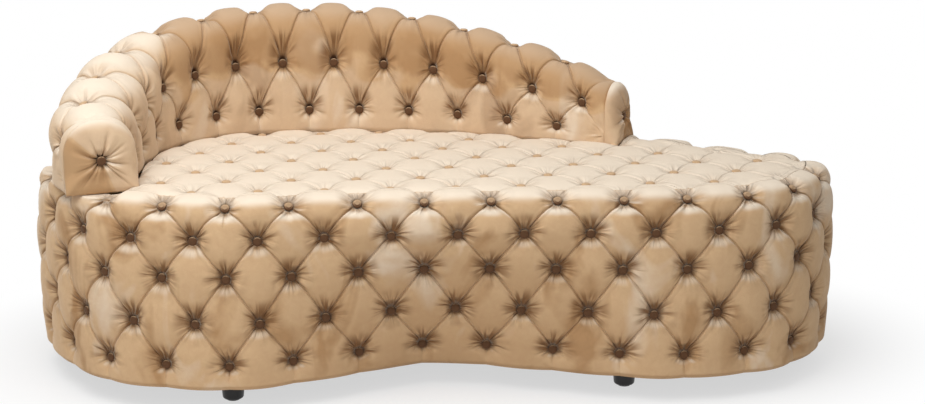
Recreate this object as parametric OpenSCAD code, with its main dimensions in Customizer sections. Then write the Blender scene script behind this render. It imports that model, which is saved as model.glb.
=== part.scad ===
// Fainting couch with a bean-shaped base, a curved back that runs from an
// arm at the left along the rear, and deep-buttoned upholstery all round.
// The frame is plywood and softwood, and the back stands on the seat board.
// The origin is on the floor under the middle of the base. +X runs along the
// couch, +Y to its rear and +Z up.

/* [Overall] */
// Length of the base over the padding
base_length = 1772; // [1600:1:1900]
// Depth of the base over the padding
base_depth = 878; // [820:1:940]
// Height of the seat's crown above the floor
seat_height = 467; // [440:1:520]
// Height of the feet, up to the underside of the base
leg_height = 53; // [40:1:80]
// Tallest point of the back above the seat's tufts
back_rise = 308; // [270:1:330]

/* [Tufting] */
// Distance from button to button along a row
tuft_pitch = 140; // [138:0.5:142]
// Distance from one row of the seat to the next
seat_row_gap = 92; // [88:1:96]
// How far the seat's buttons are drawn in below the crown
seat_tuft_depth = 15; // [10:0.5:18]
// How far the side's buttons are drawn in
side_tuft_depth = 32; // [24:1:36]
// How far the back's buttons are drawn in
back_tuft_depth = 30; // [22:1:34]
// Columns of tufts along the back
back_columns = 13; // [12:1:14]
// Height of the folds between two buttons, against the crown's height
fold_share = 0.35; // [0.2:0.05:0.5]
// How far the side swells beyond its edges at half height
side_swell = 10; // [0:1:16]
// Diameter of a covered button
button_d = 20; // [16:1:24]
// Height of a covered button's dome
button_dome = 4; // [3:0.5:6]
// Thickness of the twine that ties a button
twine_d = 2; // [1.5:0.1:3]

/* [Padding] */
// Thickness of the side padding at its crown
side_pad_t = 60; // [56:1:70]
// Thickness of the seat's tufted padding under a button
seat_pad_t = 22; // [18:1:26]
// Thickness of the firm foam under the tufted padding
seat_foam_t = 24; // [18:1:28]
// Padding over the crest of the back's frame
crest_pad_t = 45; // [40:1:50]
// Thickness of the padded faces that close the back's two ends
end_pad_t = 34; // [28:1:40]
// Clearance between soft pieces that lie against each other
soft_gap = 0.3; // [0.2:0.1:0.5]
// Least room between the back's outer wall and the side padding
back_clearance = 4; // [3:0.5:8]

/* [Timber] */
// Thickness of the two plywood boards of the base
board_t = 18; // [15:1:21]
// Thickness of the upright plywood webs inside the base
web_t = 18; // [12:1:21]
// Thickness of the bent hardboard around the base
wall_t = 5; // [4:0.5:6]
// Width of a wall stud along the wall
stud_w = 22; // [18:1:24]
// Depth of a wall stud across the wall
stud_d = 45; // [35:1:50]
// Width of the back's ribs across the back
rib_w = 44; // [40:1:46]
// Thickness of a rib of the back
rib_t = 15; // [12:1:18]
// Thickness of the bent plywood on the back's ribs
back_wall_t = 4; // [3:0.5:5]
// Thickness of the sill that the ribs stand on
sill_t = 18; // [15:1:21]
// Clearance in the slots and joints between the webs
slot_gap = 0.3; // [0.2:0.1:0.5]
// Thickness of the cloth that closes the underside
dust_cover_t = 1; // [0.8:0.1:1.5]

/* [Legs and fixings] */
// Diameter of a foot at its top
leg_top_d = 54; // [46:1:60]
// Diameter of a foot near the floor
leg_bottom_d = 46; // [36:1:52]
// Radius of the rounding at a foot's lower edge
leg_edge_r = 6; // [3:0.5:8]
// Height of the nylon glide under a foot
glide_t = 3; // [2:0.5:4]
// Diameter of the glide
glide_d = 28; // [20:1:32]
// Diameter of the glide's pin
glide_pin_d = 6; // [4:0.5:8]
// Length of the glide's pin
glide_pin_l = 12; // [8:1:14]
// Diameter of the bolts that hold the feet and the back
bolt_d = 8; // [6:1:10]
// Depth of the bolt in a foot
leg_bolt_depth = 30; // [20:1:32]
// Outside diameter of a tee nut's barrel
tee_barrel_d = 11; // [11:0.5:12]
// Diameter of a tee nut's flange
tee_flange_d = 24; // [22:1:28]
// Thickness of a tee nut's flange
tee_flange_t = 1.6; // [1.2:0.1:2]
// Diameter of a bolt's round head
bolt_head_d = 20; // [18:1:22]
// Height of a bolt's round head
bolt_head_h = 5; // [4:0.5:6]
// Width across the flats of a nut
nut_af = 13; // [13:0.5:16]
// Height of a nut
nut_h = 6.5; // [5:0.5:8]
// Outside diameter of a washer
washer_d = 24; // [20:1:28]
// Thickness of a washer
washer_t = 1.6; // [1.2:0.1:2]
// Clearance of bolts in their holes
bolt_gap = 0.1; // [0.05:0.05:0.3]
// Diameter of the holes for the twine
twine_hole_d = 6; // [5:0.5:7]
// Diameter of the toggle that anchors the twine
toggle_d = 10; // [8:0.5:11]
// Thickness of the toggle
toggle_t = 3; // [2:0.5:4]

/* [Hidden] */

velvet = "#c9a57b";
button_velvet = "#a67c52";
plywood = "#d9b98a";
softwood = "#e3cfa4";
hardboard = "#8a6a48";
foam = "#efe6c8";
twine_white = "#e8e4da";
black_wood = "#1c1a19";
nylon = "#3a3a3c";
steel = "#b5b8bb";
black_cloth = "#26262a";

// The bottom edge of the base, anticlockwise from the front of the left lobe,
// as shares of the base's length and depth. The third point is the waist.
edge_shares = [[-0.261, -0.488], [-0.141, -0.424], [-0.012, -0.334], [0.134, -0.42],
    [0.275, -0.499], [0.415, -0.44], [0.494, -0.249], [0.485, -0.078], [0.409, 0.07],
    [0.269, 0.265], [0.093, 0.412], [-0.082, 0.495], [-0.264, 0.471], [-0.413, 0.318],
    [-0.497, 0.011], [-0.476, -0.199], [-0.405, -0.394]];
// The same points at the height of the seat, where the padding nearly fills
// the waist and is drawn in at the right
crown_shares = [[-0.261, -0.488], [-0.141, -0.473], [-0.012, -0.473], [0.134, -0.485],
    [0.275, -0.499], [0.415, -0.44], [0.494, -0.249], [0.476, -0.096], [0.397, 0.023],
    [0.263, 0.229], [0.093, 0.412], [-0.082, 0.495], [-0.264, 0.471], [-0.413, 0.318],
    [-0.497, 0.011], [-0.476, -0.199], [-0.405, -0.394]];
// The middle of the back's roll, from the arm to the tail, as shares of the
// room inside the side padding, with its width as a share of the base's depth
// and its height as a share of the back's rise
roll_shares = [[-0.4552, -0.3648, 0.178, 0.513], [-0.4708, -0.195, 0.219, 0.6],
    [-0.4641, -0.0013, 0.224, 0.708], [-0.4374, 0.1925, 0.213, 0.825],
    [-0.3751, 0.3547, 0.179, 0.916], [-0.2927, 0.4616, 0.166, 0.977],
    [-0.1892, 0.4931, 0.161, 1], [-0.0857, 0.4906, 0.161, 0.977],
    [0.0178, 0.4465, 0.155, 0.903], [0.1146, 0.3648, 0.149, 0.782],
    [0.2104, 0.2616, 0.148, 0.64], [0.276, 0.1786, 0.141, 0.47]];
// How far the back's frame stands inward of the roll's middle at the same
// places, as a share of the roll's width there
frame_shift_shares = [0.17, 0.03, 0, 0, 0, 0, 0, 0, 0, 0, 0.03, 0.08];
// Where the feet stand, as shares of the base's length and depth
leg_shares = [[-0.258, -0.371], [0.226, -0.355], [-0.41, -0.07], [0.385, -0.1],
    [-0.19, 0.345], [0.19, 0.2]];
// Height of the side's top row of buttons as a share of the side's height, and
// of the rows below it as shares of the height under the seat board
side_top_share = 0.93;
side_row_shares = [0.964, 0.723, 0.4264, 0.1483];
// How far the top row of buttons lies in from the side, against the padding
top_row_inset_share = 0.6;
// The way each half row faces, in degrees above level, from the seat down
shoulder_angles = [90, 50, 22, 0];
// Places of the back's rows of buttons as shares of the roll's height
back_low_share = 0.175;
back_high_share = 0.555;
// How far the crest row lies beyond the top of the roll, in degrees
crest_row_lean = 12;
// Part of a pitch by which the seat's columns miss the middle of the couch
column_shift_share = -0.3;
// How far the seat's front row lies behind the front of the padding, against
// the distance between rows
front_row_share = 0.4;
// The stretch of the side that the back covers, as shares of the way round
covered_from_share = 0.46;
covered_to_share = 0.9435;
covered_fade_share = 0.0075;
// Share of the swelling left on the edge under the back
covered_crown_share = 0.25;
// Where the cross webs and the long web stand, as shares of the base's length
// and depth, before each moves to the nearest place clear of ties and nuts
web_x_shares = [-0.32, -0.162, -0.004, 0.154, 0.312];
web_y_share = 0.013;
// Quarter columns from one wall stud to the next
stud_step = 4;
// Seams between the four lengths of the side, as shares of the way round
seam_shares = [-0.065, 0.26, 0.485, 0.71];
// Bolts hold the back in these columns
back_bolt_columns = [1, 3, 5, 7, 9, 11];
// Height of the mid joint in the side padding's back, against its height
side_mid_share = 0.45;
// How far the seat reaches in front of the arm, against a pitch
arm_reach_share = 0.25;
// Extra columns where the seat follows the back round from the arm, as shares
// of a quarter of the pitch
arm_bend_shares = [0.3, 0.65];
// Rings of the padded end faces, from the rim to the button
end_ring_shares = [1, 0.82, 0.5, 0.2];
// Thickness of the end faces over the same rings, against their thickness
end_lift_shares = [0.35, 0.85, 1, 0.72];
end_button_share = 0.45;

quarter = 4;
spline_steps = 12;
round_facets = 64;
tie_facets = 16;
arc_facets = 32;
crown_power = 0.5;
skirt_share = 0.45;
skirt_lift_share = 0.5;
button_rim_share = 0.15;
button_tip_share = 0.2;
button_seat_angle = 20;
button_side_angle = 38;
button_back_angle = 45;
slit = 1;
overrun = 1;
wall_reach = 3;
hole_turn = 19;
web_gap = 12;
stud_twist = 4;
stud_gap = 1.2;
end_fold_share = 0.2;
end_hub_share = 0.45;
level_share = 0.15;
crest_toggle_share = 0.88;
least_step = 8;
button_margin = 20;

// Heights of the layers above the floor
tuft_plane = seat_height - seat_tuft_depth;
seat_pad_z = tuft_plane - seat_pad_t;
seat_foam_z = seat_pad_z - seat_foam_t;
seat_board_z = seat_foam_z - board_t;
base_board_z = leg_height + dust_cover_t;
web_z = base_board_z + board_t;
web_h = seat_board_z - web_z;
side_h = seat_height - leg_height;
rim_z = tuft_plane + seat_tuft_depth / 2;
covered_z = tuft_plane - soft_gap;
sill_z = seat_foam_z;
rib_z = sill_z + sill_t;

// Curves through points placed by hand, closed and open
function curve(a, b, c, d, u) =
    0.5 * (2 * b + (c - a) * u + (2 * a - 5 * b + 4 * c - d) * u * u
    + (3 * b - a - 3 * c + d) * u * u * u);
function loop_at(p, t) =
    let (n = len(p), i = floor(t))
    curve(p[(i + n - 1) % n], p[i % n], p[(i + 1) % n], p[(i + 2) % n], t - i);
function run_at(p, t) =
    let (n = len(p), i = min(floor(t), n - 2))
    curve(i == 0 ? 2 * p[0] - p[1] : p[i - 1], p[i], p[i + 1],
        i + 2 == n ? 2 * p[n - 1] - p[n - 2] : p[i + 2], t - i);
function flat(p) = [p[0], p[1]];
// A table from the length along a finely sampled curve to its parameter
function length_table(p) =
    [for (i = 0, s = 0; i < len(p);
        s = s + (i + 1 < len(p) ? norm(flat(p[i + 1]) - flat(p[i])) : 0), i = i + 1)
        [s, i / spline_steps]];
function unit(v) = v / norm(v);
function right_of(v) = [v[1], -v[0]];
function ease(x) = let (c = min(1, max(0, x))) c * c * (3 - 2 * c);
function mix(a, b, s) = a * (1 - s) + b * s;

// The side's outline, walked in quarters of a column
plan_size = [base_length, base_depth];
function in_plan(p) = [for (q = p) [q[0] * plan_size[0], q[1] * plan_size[1]]];
edge_points = in_plan(edge_shares);
crown_points = in_plan(crown_shares);
crown_lengths = length_table([for (i = [0:len(crown_points) * spline_steps])
    loop_at(crown_points, i / spline_steps)]);
perimeter = crown_lengths[len(crown_lengths) - 1][0];
side_columns = round(perimeter / tuft_pitch);
side_n = side_columns * quarter;
side_t = [for (k = [0:side_n - 1]) lookup(perimeter * k / side_n, crown_lengths)];
side_edge = [for (t = side_t) loop_at(edge_points, t)];
side_crown = [for (t = side_t) loop_at(crown_points, t)];
side_out = [for (k = [0:side_n - 1])
    unit(right_of(side_crown[(k + 1) % side_n] - side_crown[(k + side_n - 1) % side_n]))];
function lean_at(z) = min(1, max(0, (z - leg_height) / (seat_board_z - leg_height)));
function side_xy(k, z, inset) =
    let (i = (k + side_n) % side_n)
    mix(side_edge[i], side_crown[i], lean_at(z)) - side_out[i] * inset;
function side_ring(z, inset) = [for (k = [0:side_n - 1]) side_xy(k, z, inset)];
function at_z(p, z) = [p[0], p[1], z];
// How far the back covers a quarter column, from 0 to 1
function covered(k) =
    let (s = ((k + side_n) % side_n) / side_n)
    ease((s - covered_from_share) / covered_fade_share)
    * ease((covered_to_share - s) / covered_fade_share);

// The tufting's height in a diamond lattice with its buttons at whole u and v
function puff(u, v) =
    let (a = abs(sin(180 * u)), b = abs(sin(180 * v)), c = pow(a * b, crown_power))
    c + fold_share * max(a, b) * (1 - c);
function row_puff(column, row) = puff(column + row / 2, column - row / 2);
function on_fold(quarter_column, half_row) =
    (round(quarter_column - half_row) + side_n * quarter) % quarter == 0;

// A closed solid swept through stations. Each station is a ring of points that
// runs down its outer face, of outer_n points, and up its inner face. folds
// says for each station and point whether the face's diagonal follows a fold.
function cap(outer, inner, i = 0, j = 0) =
    let (a = len(outer) - 1, b = len(inner) - 1)
    i == a && j == b ? []
    : i < a && (j == b || (i + 1) / a <= (j + 1) / b)
        ? concat([[outer[i], outer[i + 1], inner[j]]], cap(outer, inner, i + 1, j))
        : concat([[outer[i], inner[j + 1], inner[j]]], cap(outer, inner, i, j + 1));
function turned(faces) = [for (f = faces) [f[2], f[1], f[0]]];
module swept(stations, outer_n, folds = [])
{
    m = len(stations[0]);
    n = len(stations);
    walls = [for (i = [0:n - 2]) for (j = [0:m - 1])
        let (a = i * m + j, b = i * m + (j + 1) % m, d = a + m, e = b + m)
        each (len(folds) > 0 && folds[i][j]
            ? [[a, e, b], [a, d, e]]
            : [[a, d, b], [b, d, e]])];
    first = cap([for (j = [0:outer_n - 1]) j], [for (j = [m - 1:-1:outer_n]) j]);
    last = [for (f = turned(first)) [for (v = f) v + (n - 1) * m]];
    polyhedron(points = [for (s = stations) each s], faces = concat(walls, first, last),
        convexity = 10);
}

// The side padding, from the seat's rim over the shoulder to the bottom edge
side_half_rows = [-1, 0, 1, 2, 3, 4, 5, 6, 7, 8, 10];
side_row_zs = concat([leg_height + side_top_share * side_h],
    [for (s = side_row_shares) mix(leg_height, seat_board_z, s)], [leg_height]);
function side_row_z(row) =
    let (i = floor(row))
    mix(side_row_zs[i], side_row_zs[min(i + 1, len(side_row_zs) - 1)], row - i);
function swell_at(z) = side_swell * sin(180 * (z - leg_height) / side_h);
function side_inset(row) =
    row == 0 ? side_pad_t * top_row_inset_share
    : side_tuft_depth - swell_at(side_row_z(row));
function side_surface(k, h) =
    let (row = h / 2, z = side_row_z(row), cover = h <= 1 ? covered(k) : 0,
        angle = shoulder_angles[min(h + 1, len(shoulder_angles) - 1)] * (1 - cover),
        rise = side_tuft_depth * row_puff(k / quarter, row)
            * mix(1, h == 0 ? covered_crown_share : 1, cover))
    at_z(side_xy(k, z, side_inset(row) - rise * cos(angle)), z + rise * sin(angle));
function side_rim(k) =
    at_z(side_xy(k, seat_board_z, side_pad_t), mix(rim_z, covered_z, covered(k)));
function side_skirt(k) =
    let (lift = mix(skirt_lift_share, 1, abs(sin(180 * k / quarter))))
    at_z(side_xy(k, leg_height, side_tuft_depth * skirt_share * (1 - lift)), leg_height);
side_mid_z = mix(leg_height, seat_board_z, side_mid_share);
function side_section(k) = concat([side_rim(k)],
    [for (h = side_half_rows) if (h >= 0 && h < 2 * side_rows) side_surface(k, h)],
    [side_skirt(k)],
    [for (z = [leg_height, side_mid_z, seat_board_z]) at_z(side_xy(k, z, side_pad_t), z)]);
// The seams lie a quarter column clear of the buttons
function seam(i) =
    round(seam_shares[i % len(seam_shares)] * side_columns) * quarter - 1
    + (i >= len(seam_shares) ? side_n : 0);
module side_pad(i)
{
    ks = [seam(i):seam(i + 1)];
    color(velvet)
    swept([for (k = ks) side_section(k)], len(side_half_rows),
        [for (k = ks) concat([for (h = side_half_rows) on_fold(k, h)], [true, true, true])]);
}

module side_pad_front()
{
    side_pad(0);
}

module side_pad_right()
{
    side_pad(1);
}

module side_pad_rear()
{
    side_pad(2);
}

module side_pad_left()
{
    side_pad(3);
}

// The bent hardboard behind the side padding, with a hole for each tie
side_rows = len(side_row_shares) + 1;
function side_button_columns(row) =
    [for (c = [0:side_columns - 1]) c * quarter + (row % 2) * quarter / 2];
function wall_slope(k) =
    abs((side_crown[k] - side_edge[k]) * side_out[k]) / (seat_board_z - leg_height);
function out_angle(k) = let (o = side_out[(k + side_n) % side_n]) atan2(o[1], o[0]);
module at_side(k, row, inset)
{
    z = side_row_z(row);
    translate(at_z(side_xy(k, z, inset), z))
    rotate([0, 90, out_angle(k)])
    children();
}
wall_heights = [seat_foam_z, seat_board_z, side_mid_z, base_board_z];
module wall(i)
{
    outer = side_pad_t;
    inner = side_pad_t + wall_t;
    color(hardboard)
    difference() {
        swept([for (k = [seam(i):seam(i + 1)]) concat(
            [for (z = wall_heights) at_z(side_xy(k, z, outer), z)],
            [for (j = [len(wall_heights) - 1:-1:0])
                at_z(side_xy(k, wall_heights[j], inner), wall_heights[j])])],
            len(wall_heights));
        for (row = [1:side_rows - 1])
            for (k = [seam(i) + 1:seam(i + 1) - 1])
                if ((k + side_n) % quarter == (row % 2) * quarter / 2)
                    at_side(k, row, inner + wall_reach)
                    rotate(hole_turn)
                    cylinder(h = wall_t + 2 * wall_reach, d = twine_hole_d, $fn = tie_facets);
    }
}

module wall_front()
{
    wall(0);
}

module wall_right()
{
    wall(1);
}

module wall_rear()
{
    wall(2);
}

module wall_left()
{
    wall(3);
}

// The seat's middle column and front row of buttons
seat_x0 = column_shift_share * tuft_pitch;
seat_y0 = front_row_share * seat_row_gap - base_depth / 2;

// Plates of the base, cut to the side's outline where it is narrower
function leans_in(k) = (side_crown[k] - side_edge[k]) * side_out[k] < 0;
module plate(z, t, inset)
{
    translate([0, 0, z])
    linear_extrude(t)
    polygon([for (k = [0:side_n - 1]) side_xy(k, leans_in(k) ? z + t : z, inset)]);
}
frame_inset = side_pad_t + wall_t + slot_gap;
function leg_xy(i) = [leg_shares[i][0] * base_length, leg_shares[i][1] * base_depth];

module dust_cover()
{
    color(black_cloth)
    difference() {
        plate(leg_height, dust_cover_t, side_pad_t + slot_gap);
        for (i = [0:len(leg_shares) - 1])
            translate(at_z(leg_xy(i), leg_height - overrun))
            cylinder(h = dust_cover_t + 2 * overrun, d = leg_top_d + 2 * slot_gap,
                $fn = round_facets);
    }
}

module base_board()
{
    color(plywood)
    difference() {
        plate(base_board_z, board_t, frame_inset);
        for (i = [0:len(leg_shares) - 1])
            translate(at_z(leg_xy(i), base_board_z - overrun))
            cylinder(h = board_t + 2 * overrun, d = tee_barrel_d + 2 * bolt_gap,
                $fn = round_facets);
    }
}

// Where a line across the base meets a ring
function crossings(ring, x) =
    [for (i = [0:len(ring) - 1])
        let (a = ring[i], b = ring[(i + 1) % len(ring)])
        if ((a[0] <= x) != (b[0] <= x)) mix(a[1], b[1], (x - a[0]) / (b[0] - a[0]))];
function swapped(ring) = [for (p = ring) [p[1], p[0]]];
// The span of an upright web of thickness t at a place, clear of the walls
function web_span(ring, at, t) =
    [max([for (d = [-t / 2, t / 2]) min(crossings(ring, at + d))]) + web_gap,
     min([for (d = [-t / 2, t / 2]) max(crossings(ring, at + d))]) - web_gap];
web_foot = side_ring(web_z, frame_inset);
web_head = side_ring(seat_board_z, frame_inset);
function web_outline(foot, head) =
    [[foot[0], web_z], [foot[1], web_z], [head[1], seat_board_z], [head[0], seat_board_z]];
slot_w = web_t + 2 * slot_gap;

module long_web()
{
    foot = web_span(swapped(web_foot), web_y, web_t);
    head = web_span(swapped(web_head), web_y, web_t);
    color(plywood)
    translate([0, web_y + web_t / 2, 0])
    rotate([90, 0, 0])
    linear_extrude(web_t)
    difference() {
        polygon(web_outline(foot, head));
        for (x = web_xs)
            translate([x - slot_w / 2, web_z + web_h / 2])
            square([slot_w, web_h]);
    }
}

module cross_web(i)
{
    foot = web_span(web_foot, web_xs[i], web_t);
    head = web_span(web_head, web_xs[i], web_t);
    color(plywood)
    translate([web_xs[i] - web_t / 2, 0, 0])
    rotate([90, 0, 90])
    linear_extrude(web_t)
    difference() {
        polygon(web_outline(foot, head));
        translate([web_y - slot_w / 2, web_z - web_h / 2 + slot_gap])
        square([slot_w, web_h]);
    }
}

// Upright studs between the boards, against the bent wall beside the ties
function stud_corner(k, z, along, depth) =
    side_xy(k, z, frame_inset + stud_gap + depth) + right_of(side_out[k]) * along;
function stud_corners(k, z) =
    [for (p = [[1, 0], [-1, 0], [-1, 1], [1, 1]])
        at_z(stud_corner(k, z, p[0] * stud_w / 2, p[1] * stud_d), z)];
function stud_path(k) =
    [for (z = [web_z, seat_board_z]) for (s = [0, 0.5, 1]) stud_corner(k, z, 0, s * stud_d)];
// A stud is left out beside a web or a tie, and where the wall is twisted
function stud_clear(k) =
    let (path = stud_path(k), room = (stud_w + web_t) / 2 + least_step)
    min([for (x = web_xs) for (p = path) abs(p[0] - x)]) > room
    && min([for (p = path) abs(p[1] - web_y)]) > room
    && min([for (q = seat_buttons_at) for (p = path) norm(p - q)]) > room
    && min([for (q = nuts_at) for (p = path) norm(p - q)]) > (stud_w + washer_d) / 2
    && norm(side_crown[k + 1] - side_edge[k + 1] - side_crown[k - 1] + side_edge[k - 1])
        < stud_twist;
module wall_studs()
{
    color(softwood)
    for (k = [1:stud_step:side_n - 2])
        if (stud_clear(k))
            polyhedron(points = concat(stud_corners(k, web_z), stud_corners(k, seat_board_z)),
                faces = [[0, 1, 2], [0, 2, 3], [4, 6, 5], [4, 7, 6], [0, 4, 5], [0, 5, 1],
                    [1, 5, 6], [1, 6, 2], [2, 6, 7], [2, 7, 3], [3, 7, 4], [3, 4, 0]]);
}

// Feet, each with its glide, bolt and tee nut
module leg(i)
{
    bottom_r = leg_bottom_d / 2;
    edge = [for (a = [-90:15:0])
        [bottom_r - leg_edge_r + leg_edge_r * cos(a), glide_t + leg_edge_r + leg_edge_r * sin(a)]];
    color(black_wood)
    translate(at_z(leg_xy(i), 0))
    difference() {
        rotate_extrude($fn = round_facets)
        polygon(concat([[0, glide_t]], edge, [[leg_top_d / 2, base_board_z], [0, base_board_z]]));
        translate([0, 0, base_board_z - leg_bolt_depth])
        cylinder(h = leg_bolt_depth + overrun, d = bolt_d + 2 * bolt_gap, $fn = round_facets);
        translate([0, 0, glide_t - overrun])
        cylinder(h = glide_pin_l + overrun, d = glide_pin_d + 2 * bolt_gap, $fn = round_facets);
    }
}

module leg_glides()
{
    color(nylon)
    for (i = [0:len(leg_shares) - 1])
        translate(at_z(leg_xy(i), 0)) {
            cylinder(h = glide_t, d = glide_d, $fn = round_facets);
            cylinder(h = glide_t + glide_pin_l - bolt_gap, d = glide_pin_d, $fn = round_facets);
        }
}

module leg_bolts()
{
    color(steel)
    for (i = [0:len(leg_shares) - 1])
        translate(at_z(leg_xy(i), base_board_z - leg_bolt_depth + bolt_gap))
        cylinder(h = leg_bolt_depth - bolt_gap + board_t + tee_flange_t, d = bolt_d,
            $fn = round_facets);
}

tee_barrel_l = board_t / 2;
module leg_tee_nuts()
{
    color(steel)
    for (i = [0:len(leg_shares) - 1])
        translate(at_z(leg_xy(i), web_z))
        difference() {
            union() {
                cylinder(h = tee_flange_t, d = tee_flange_d, $fn = round_facets);
                translate([0, 0, -tee_barrel_l])
                cylinder(h = tee_barrel_l, d = tee_barrel_d, $fn = round_facets);
            }
            translate([0, 0, -tee_barrel_l - overrun])
            cylinder(h = tee_barrel_l + tee_flange_t + 2 * overrun, d = bolt_d + 2 * bolt_gap,
                $fn = round_facets);
        }
}

// The back's roll, walked in quarters of a column from the arm to the tail
back_n = back_columns * quarter;
frame_r = rib_w / 2 + back_wall_t;
roll_inset = side_pad_t + frame_r + back_clearance;
roll_points = [for (p = roll_shares)
    [p[0] * (base_length - 2 * roll_inset), p[1] * (base_depth - 2 * roll_inset),
        p[2] * base_depth, p[3] * back_rise]];
roll_lengths = length_table([for (i = [0:(len(roll_points) - 1) * spline_steps])
    run_at(roll_points, i / spline_steps)]);
roll_length = roll_lengths[len(roll_lengths) - 1][0];
roll_t = [for (k = [0:back_n]) lookup(roll_length * k / back_n, roll_lengths)];
roll_at = [for (t = roll_t) run_at(roll_points, t)];
roll_dir = [for (k = [0:back_n])
    unit(flat(roll_at[min(k + 1, back_n)]) - flat(roll_at[max(k - 1, 0)]))];
shift_table = [for (i = [0:len(frame_shift_shares) - 1]) [i, frame_shift_shares[i]]];
frame_mid = [for (k = [0:back_n]) lookup(roll_t[k], shift_table) * roll_at[k][2]];
function back_xy(k, o) = flat(roll_at[k]) + right_of(roll_dir[k]) * o;
function back_point(k, p) = at_z(back_xy(k, p[0]), tuft_plane + p[1]);
// Height of the middle of the frame's round top above the tufts' plane
function crest_mid(k) = roll_at[k][3] - crest_pad_t - frame_r;

// A point of the roll's section at a length along it from the seat, with the
// angle of its face: how far inward, how high, and the angle above level
function roll_face(k, s) =
    let (r = roll_at[k][2] / 2, upright = roll_at[k][3] - r, arc = PI * r)
    s <= upright ? [r, s, 0]
    : s <= upright + arc
        ? let (a = (s - upright) / arc * 180) [r * cos(a), upright + r * sin(a), a]
        : [-r, upright - (s - upright - arc), 180];
back_rows = 6;
function back_row_s(k, row) =
    let (r = roll_at[k][2] / 2, h = roll_at[k][3], upright = h - r, whole = 2 * upright + PI * r)
    [0, back_low_share * h, back_high_share * h, upright + PI * r * (90 + crest_row_lean) / 180,
        whole - back_high_share * h, whole - back_low_share * h, whole][row];
function back_half_s(k, half) =
    (back_row_s(k, floor(half / 2)) + back_row_s(k, ceil(half / 2))) / 2;
function back_lift(k, half) =
    half == 0 || half == 2 * back_rows ? 1
    : half == 1 || half == 2 * back_rows - 1
        ? mix(skirt_lift_share, 1, abs(sin(180 * k / quarter)))
        : row_puff(k / quarter, half / 2 - 1);
function back_face(k, half) =
    let (f = roll_face(k, back_half_s(k, half)), d = back_tuft_depth * (1 - back_lift(k, half)))
    [f[0] - d * cos(f[2]), f[1] - d * sin(f[2]), f[2]];
function frame_arc(k, r, angles) =
    [for (a = angles) [frame_mid[k] + r * cos(a), crest_mid(k) + r * sin(a)]];
foam_drop = seat_foam_z - tuft_plane;
function inner_section(k) = concat(
    [for (half = [back_rows:-1:0]) back_face(k, half)],
    [[roll_at[k][2] / 2, foam_drop], [frame_mid[k] + frame_r, foam_drop]],
    frame_arc(k, frame_r, [0, 45, 90]));
function outer_section(k) = concat(
    [for (half = [back_rows:2 * back_rows]) back_face(k, half)],
    [[frame_mid[k] - frame_r, 0]],
    frame_arc(k, frame_r, [180, 135, 90]));
function back_ring(k, section) = [for (p = section) back_point(k, p)];

module back_inner_pad()
{
    ks = [0:back_n];
    color(velvet)
    swept([for (k = ks) back_ring(k, inner_section(k))], back_rows + 2,
        [for (k = ks) [for (j = [0:back_rows + 5])
            j < back_rows && on_fold(k - 2, j - back_rows)]]);
}

module back_outer_pad()
{
    ks = [back_n:-1:0];
    color(velvet)
    swept([for (k = ks) back_ring(k, outer_section(k))], back_rows + 1,
        [for (k = ks) [for (j = [0:back_rows + 4])
            j == back_rows + 4 || (j < back_rows && on_fold(k - 2, -j - back_rows))]]);
}

// The padded faces at the two ends of the roll
end_points = 16;
module end_pad(k, facing)
{
    h = roll_at[k][3];
    whole = back_row_s(k, back_rows);
    middle = [0, end_button_share * h];
    rim = [for (i = [0:end_points - 1]) flat(roll_face(k, whole * i / (end_points - 1)))];
    away = roll_dir[k] * facing;
    rings = concat([[for (p = rim) back_point(k, p)]],
        [for (i = [0:len(end_ring_shares) - 1])
            [for (j = [0:end_points - 1])
                let (lift = end_lift_shares[i] * (j % 2 == 1 && i > 0 ? 1 : 1 - end_fold_share),
                    p = back_point(k, mix(middle, rim[j], end_ring_shares[i])))
                p + at_z(away * end_pad_t * lift, 0)]]);
    n = len(rings);
    hub = back_point(k, middle);
    points = concat([for (r = rings) each r], [hub, hub + at_z(away * end_pad_t * end_hub_share, 0)]);
    bands = [for (i = [0:n - 2]) for (j = [0:end_points - 1])
        let (a = i * end_points + j, b = i * end_points + (j + 1) % end_points,
            d = a + end_points, e = b + end_points)
        each [[a, d, b], [b, d, e]]];
    back = [for (j = [0:end_points - 1]) [n * end_points, j, (j + 1) % end_points]];
    front = [for (j = [0:end_points - 1])
        [n * end_points + 1, (n - 1) * end_points + (j + 1) % end_points, (n - 1) * end_points + j]];
    faces = concat(bands, back, front);
    color(velvet)
    polyhedron(points = points, faces = facing > 0 ? turned(faces) : faces, convexity = 6);
}

module arm_end_pad()
{
    end_pad(0, -1);
}

module tail_end_pad()
{
    end_pad(back_n, 1);
}

// The back's frame: a sill, ribs between the button columns and bent walls
module back_sill()
{
    color(plywood)
    difference() {
        translate([0, 0, sill_z])
        linear_extrude(sill_t)
        polygon(concat(
            [for (k = [0:back_n]) back_xy(k, frame_mid[k] + frame_r - back_wall_t - slot_gap)],
            [for (k = [back_n:-1:0]) back_xy(k, frame_mid[k] - frame_r + back_wall_t + slot_gap)]));
        back_bolt_holes(sill_z - overrun, sill_t + 2 * overrun);
    }
}

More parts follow.
